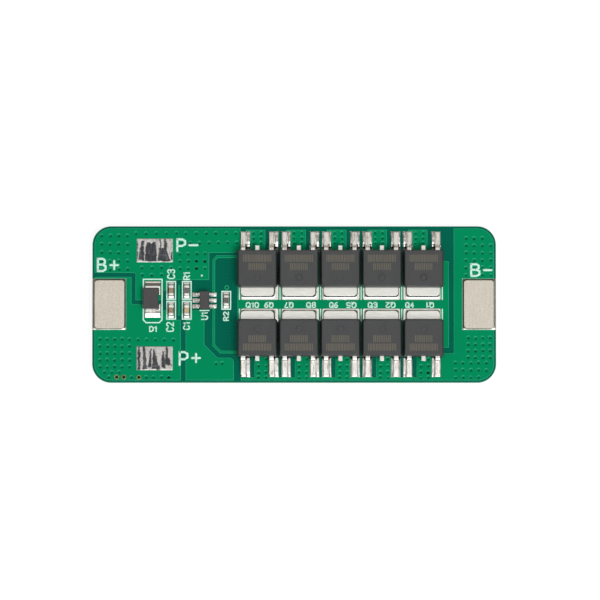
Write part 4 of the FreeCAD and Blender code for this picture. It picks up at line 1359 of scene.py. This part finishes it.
# Each sign: text, x low, x high, y low, y high of its box and quarter turns
labels = {
    "height": 0.014,
    "lift": 0.0025,
    "skirt": 0.006,
    "gap": 0.30,
    "step": 0.14,
    "capSides": 6,
    "dot": (-14.87, 4.64, 0.17, 16),  # x, y, radius and sides of the round mark beside the small parts
    "dotSunk": 0.004,
    "lineWidths": {"bold": 0.36, "fine": 0.21},
    "bold": [
        ("B", -31.82, -30.21, 5.20, 7.53, 0),
        ("+", -29.80, -28.20, 5.33, 7.33, 0),
        ("P", -19.02, -17.41, 8.42, 10.67, 0),
        ("-", -17.09, -15.40, 8.55, 10.55, 0),
        ("P", -18.62, -17.01, -9.93, -7.52, 0),
        ("+", -16.60, -15.00, -9.65, -7.65, 0),
        ("B", 28.31, 30.00, 4.40, 6.65, 0),
        ("-", 30.35, 31.95, 4.52, 6.52, 0),
    ],
    "fine": [
        ("D1", -23.37, -22.08, -4.46, -3.49, 0),
        ("C3", -20.47, -19.18, 4.07, 5.68, 1),
        ("R1", -17.90, -16.77, 3.91, 5.20, 1),
        ("C2", -20.63, -19.34, -4.46, -2.85, 1),
        ("C1", -17.90, -16.77, -4.14, -2.85, 1),
        ("U1", -15.00, -13.87, -2.53, -1.24, 1),
        ("R2", -11.46, -10.49, -2.69, -1.16, 1),
        ("Q10", -7.83, -5.66, -0.60, 0.37, 0),
        ("Q9", -4.85, -3.32, -0.60, 0.37, 2),
        ("Q7", -1.63, -0.10, -0.60, 0.37, 2),
        ("Q8", 1.91, 3.52, -0.60, 0.37, 0),
        ("Q6", 5.61, 7.06, -0.60, 0.37, 0),
        ("Q5", 8.35, 10.04, -0.60, 0.37, 2),
        ("Q3", 11.81, 13.42, -0.60, 0.37, 0),
        ("Q2", 14.71, 16.32, -0.60, 0.37, 2),
        ("Q4", 17.85, 19.30, -0.60, 0.37, 0),
        ("Q1", 21.23, 22.52, -0.60, 0.37, 2),
    ],
}


def stretched(points, step):
    # the run with more points, so that it can follow the ground
    result = [points[0]]
    for a, b in zip(points, points[1:]):
        count = max(1, math.ceil((b - a).length / step))
        result += [a.lerp(b, (i + 1) / count) for i in range(count)]
    return result


def inkLine(bm, points, width, order):
    # printed ribbon with round ends, lying on mask and copper; later strokes lie over earlier ones
    run = stretched(points, labels["step"])
    closed = (run[0] - run[-1]).length < 1e-6
    half = width / 2
    first, last = (run[-2], run[1]) if closed else (2 * run[0] - run[1], 2 * run[-1] - run[-2])
    left, right, ground = [], [], []
    for i, (earlier, point, later) in enumerate(zip([first] + run, run, run[1:] + [last])):
        reach = mitre(earlier, point, later, 0.7) * half
        left.append(point + reach)
        right.append(point - reach)
        highest = max(surfaceHeight(*(point + reach * share)) for share in (-1, -0.5, 0, 0.5, 1))
        ground.append(highest + labels["height"] + labels["lift"] * (order + i / len(run)))

    def strip(lower, upper):
        for i in range(1, len(lower)):
            bm.faces.new((lower[i - 1], lower[i], upper[i], upper[i - 1]))

    def skirt(verts):
        heights = [surfaceHeight(v.co.x, v.co.y) - labels["skirt"] for v in verts]
        return ring(bm, [v.co for v in verts], heights)

    topRight, topLeft = ring(bm, right, ground), ring(bm, left, ground)
    strip(topRight, topLeft)
    if closed:
        for edge in (topRight, topLeft):
            strip(edge, skirt(edge))
        return
    tips = []
    for centre, beyond, height in ((run[-1], last, ground[-1]), (run[0], first, ground[0])):
        start = math.atan2(beyond.y - centre.y, beyond.x - centre.x) - math.pi / 2
        angles = [start + math.pi * i / labels["capSides"] for i in range(1, labels["capSides"])]
        tips.append(ring(bm, [centre + Vector((math.cos(a), math.sin(a))) * half for a in angles], height))
    bm.faces.new([topRight[-1]] + tips[0] + [topLeft[-1]])
    bm.faces.new([topLeft[0]] + tips[1] + [topRight[0]])
    around = topRight + tips[0] + topLeft[::-1] + tips[1]
    walls(bm, [skirt(around), around], False, False)


bm = bmesh.new()
for weight, width in labels["lineWidths"].items():
    for text, *box, turns in labels[weight]:
        length = sum(glyphs[c][0] for c in text) / 100 + labels["gap"] * (len(text) - 1)
        spans = (box[1] - box[0] - width, box[3] - box[2] - width)
        wide, tall = spans if turns % 2 == 0 else spans[::-1]
        start = 0.0
        for advance, *strokes in (glyphs[c] for c in text):
            for order, stroke in enumerate(strokes):
                line = []
                for u, v in (spot.split(",") for spot in stroke.split()):
                    across, up = (start + int(u) / 100) / length - 0.5, int(v) / 100 - 0.5
                    flat = Vector((across * wide, up * tall))
                    flat.rotate(Matrix.Rotation(turns * math.pi / 2, 2))
                    line.append(middleOf(box) + flat)
                inkLine(bm, line, width, order)
            start += advance / 100 + labels["gap"]
height = surfaceHeight(*labels["dot"][:2])
rim = circle(*labels["dot"])
lower, upper = ring(bm, rim, height - labels["dotSunk"]), ring(bm, rim, height + labels["height"])
walls(bm, [lower, upper], capLow=False)
finished(bm, "printed_labels", "ink", "legend", flatFaces=False)
print("labels printed")


# Camera, light and floor

# Shiny pieces mirror a tent: the product of three ramps, along y, along x and upwards, with two
# round softboxes; each softbox: direction, angle to which it is full, angle where it ends, strength.
# Each lamp, for the matt pieces: name, direction, distance, size and strength
studio = {
    "lens": 335.4,
    "distance": 0.9,
    "elevation": 86.4,
    "target": (0.94, 0.69, 1.6),
    "behind": [
        (0.0, 0.85), (0.50, 1.0), (0.56, (0.95, 0.95, 0.94)), (0.61, (0.74, 0.71, 0.66)),
        (0.70, (0.52, 0.49, 0.44)), (0.85, (0.46, 0.44, 0.39)), (1.0, (0.50, 0.48, 0.44)),
    ],
    "sides": [
        (0.0, (0.50, 0.49, 0.47)), (0.36, (0.62, 0.60, 0.58)), (0.46, 1.0), (0.54, 1.0),
        (0.66, (0.75, 0.74, 0.72)), (1.0, (0.62, 0.61, 0.60)),
    ],
    "low": [(0.0, 0.30), (0.30, 0.45), (0.70, 0.92), (1.0, 1.0)],
    "softboxes": [((0.12, -0.62, 0.85), 16, 28, 2.0), ((0.62, -0.15, 0.80), 12, 22, 0.5)],
    "lamps": [
        ("frontSoftbox", (0.40, -0.42, 1.0), 0.9, (0.28, 0.32), 0.57),
        ("sideSoftbox", (0.9, -0.1, 1.0), 0.9, (0.3, 0.5), 0.10),
    ],
    "even": [(0.0, 0.22), (0.30, 0.42), (0.60, 0.64), (0.80, 0.62), (0.92, 0.25), (1.0, 0.12)],
    "floorGlow": 0.90,
    "floorColour": (0.14, 0.14, 0.14),
    "floorSize": 3.0,
    "floorPlace": (0.5, 0.0, -0.00002),  # off centre, so that its diagonal doesn't pass under the board
}


def makeCamera():
    data = bpy.data.cameras.new("camera")
    data.lens = studio["lens"]
    data.sensor_width = 36
    data.clip_start = 0.01
    data.clip_end = 20
    camera = bpy.data.objects.new("camera", data)
    bpy.context.scene.collection.objects.link(camera)
    tilt = math.radians(studio["elevation"])
    away = Vector((0, -math.cos(tilt), math.sin(tilt)))
    camera.location = Vector(studio["target"]) / perMetre + away * studio["distance"]
    camera.rotation_euler = (math.pi / 2 - tilt, 0, 0)
    bpy.context.scene.camera = camera


def makeLamp(name, direction, distance, size, strength):
    # strength is the share of plain light that it gives to a face turned to it
    data = bpy.data.lights.new(name, "AREA")
    data.shape = "RECTANGLE"
    data.size, data.size_y = size
    data.energy = strength * math.pi ** 2 * distance ** 2
    lamp = bpy.data.objects.new(name, data)
    lamp.visible_glossy = False  # shiny pieces mirror the tent that the world draws
    bpy.context.scene.collection.objects.link(lamp)
    away = Vector(direction).normalized()
    lamp.location = away * distance
    lamp.rotation_euler = away.to_track_quat("Z", "Y").to_euler()


def joined(tree, blend, first, second):
    inputs = {0: 1.0, 6: first, 7: second}
    return added(tree, "Mix", inputs, data_type="RGBA", blend_type=blend, clamp_result=False).outputs[2]


def softbox(tree, facing, direction, full, gone, strength):
    # bright round panel of the tent
    aim = added(tree, "VectorMath", {0: facing, 1: Vector(direction).normalized()}, operation="DOT_PRODUCT")
    edges = {"From Min": math.cos(math.radians(gone)), "From Max": math.cos(math.radians(full))}
    fade = added(tree, "MapRange", {"Value": aim.outputs["Value"], **edges}, interpolation_type="SMOOTHSTEP")
    return blended(tree, fade.outputs["Result"], (0.0, 0.0, 0.0), (strength,) * 3)


def makeWorld():
    world = bpy.data.worlds.new("studio")
    bpy.context.scene.world = world
    world.use_nodes = True
    tree = world.node_tree
    facing = added(tree, "TexCoord", {}).outputs["Generated"]
    x, y, z = added(tree, "SeparateXYZ", {0: facing}).outputs
    path = added(tree, "LightPath", {}).outputs
    tent = None
    for stops, way in (("behind", y), ("sides", x), ("low", z)):
        if way != z:
            way = worked(tree, "ADD", worked(tree, "MULTIPLY", way, 0.5), 0.5)  # -1...1 to 0...1
        layer = ramp(tree, way, studio[stops])
        tent = joined(tree, "MULTIPLY", tent, layer) if tent else layer
    for panel in studio["softboxes"]:
        tent = joined(tree, "ADD", tent, softbox(tree, facing, *panel))
    # matt surfaces get even light from halfway up, and little from straight above and from low down
    seen = blended(tree, path["Is Glossy Ray"], ramp(tree, z, studio["even"]), tent)
    for ray in ("Is Transmission Ray", "Is Camera Ray"):
        seen = blended(tree, path[ray], seen, (1.0, 1.0, 1.0))
    tree.links.new(seen, tree.nodes["Background"].inputs["Color"])


def makeFloor():
    # white table: glows a little, so the shadow stays faint, and can't be seen from below
    bm = bmesh.new()
    bmesh.ops.create_grid(bm, x_segments=1, y_segments=1, size=studio["floorSize"])
    mesh = bpy.data.meshes.new("floor")
    bm.to_mesh(mesh)
    bm.free()
    floor = bpy.data.objects.new("floor", mesh)
    bpy.context.scene.collection.objects.link(floor)
    floor.location = studio["floorPlace"]
    material = bpy.data.materials.new("floorWhite")
    material.use_nodes = True
    tree = material.node_tree
    tree.nodes.clear()
    matt = added(tree, "BsdfDiffuse", {"Color": studio["floorColour"]}).outputs[0]
    glow = added(tree, "Emission", {"Strength": studio["floorGlow"]}).outputs[0]
    both = added(tree, "AddShader", {0: matt, 1: glow}).outputs[0]
    clear = added(tree, "BsdfTransparent", {}).outputs[0]
    below = added(tree, "NewGeometry", {}).outputs["Backfacing"]
    surface = added(tree, "MixShader", {0: below, 1: both, 2: clear}).outputs[0]
    added(tree, "OutputMaterial", {"Surface": surface})
    mesh.materials.append(material)


makeCamera()
for lamp in studio["lamps"]:
    makeLamp(*lamp)
makeWorld()
makeFloor()
bpy.context.scene.view_settings.view_transform = "Standard"
print("studio made")
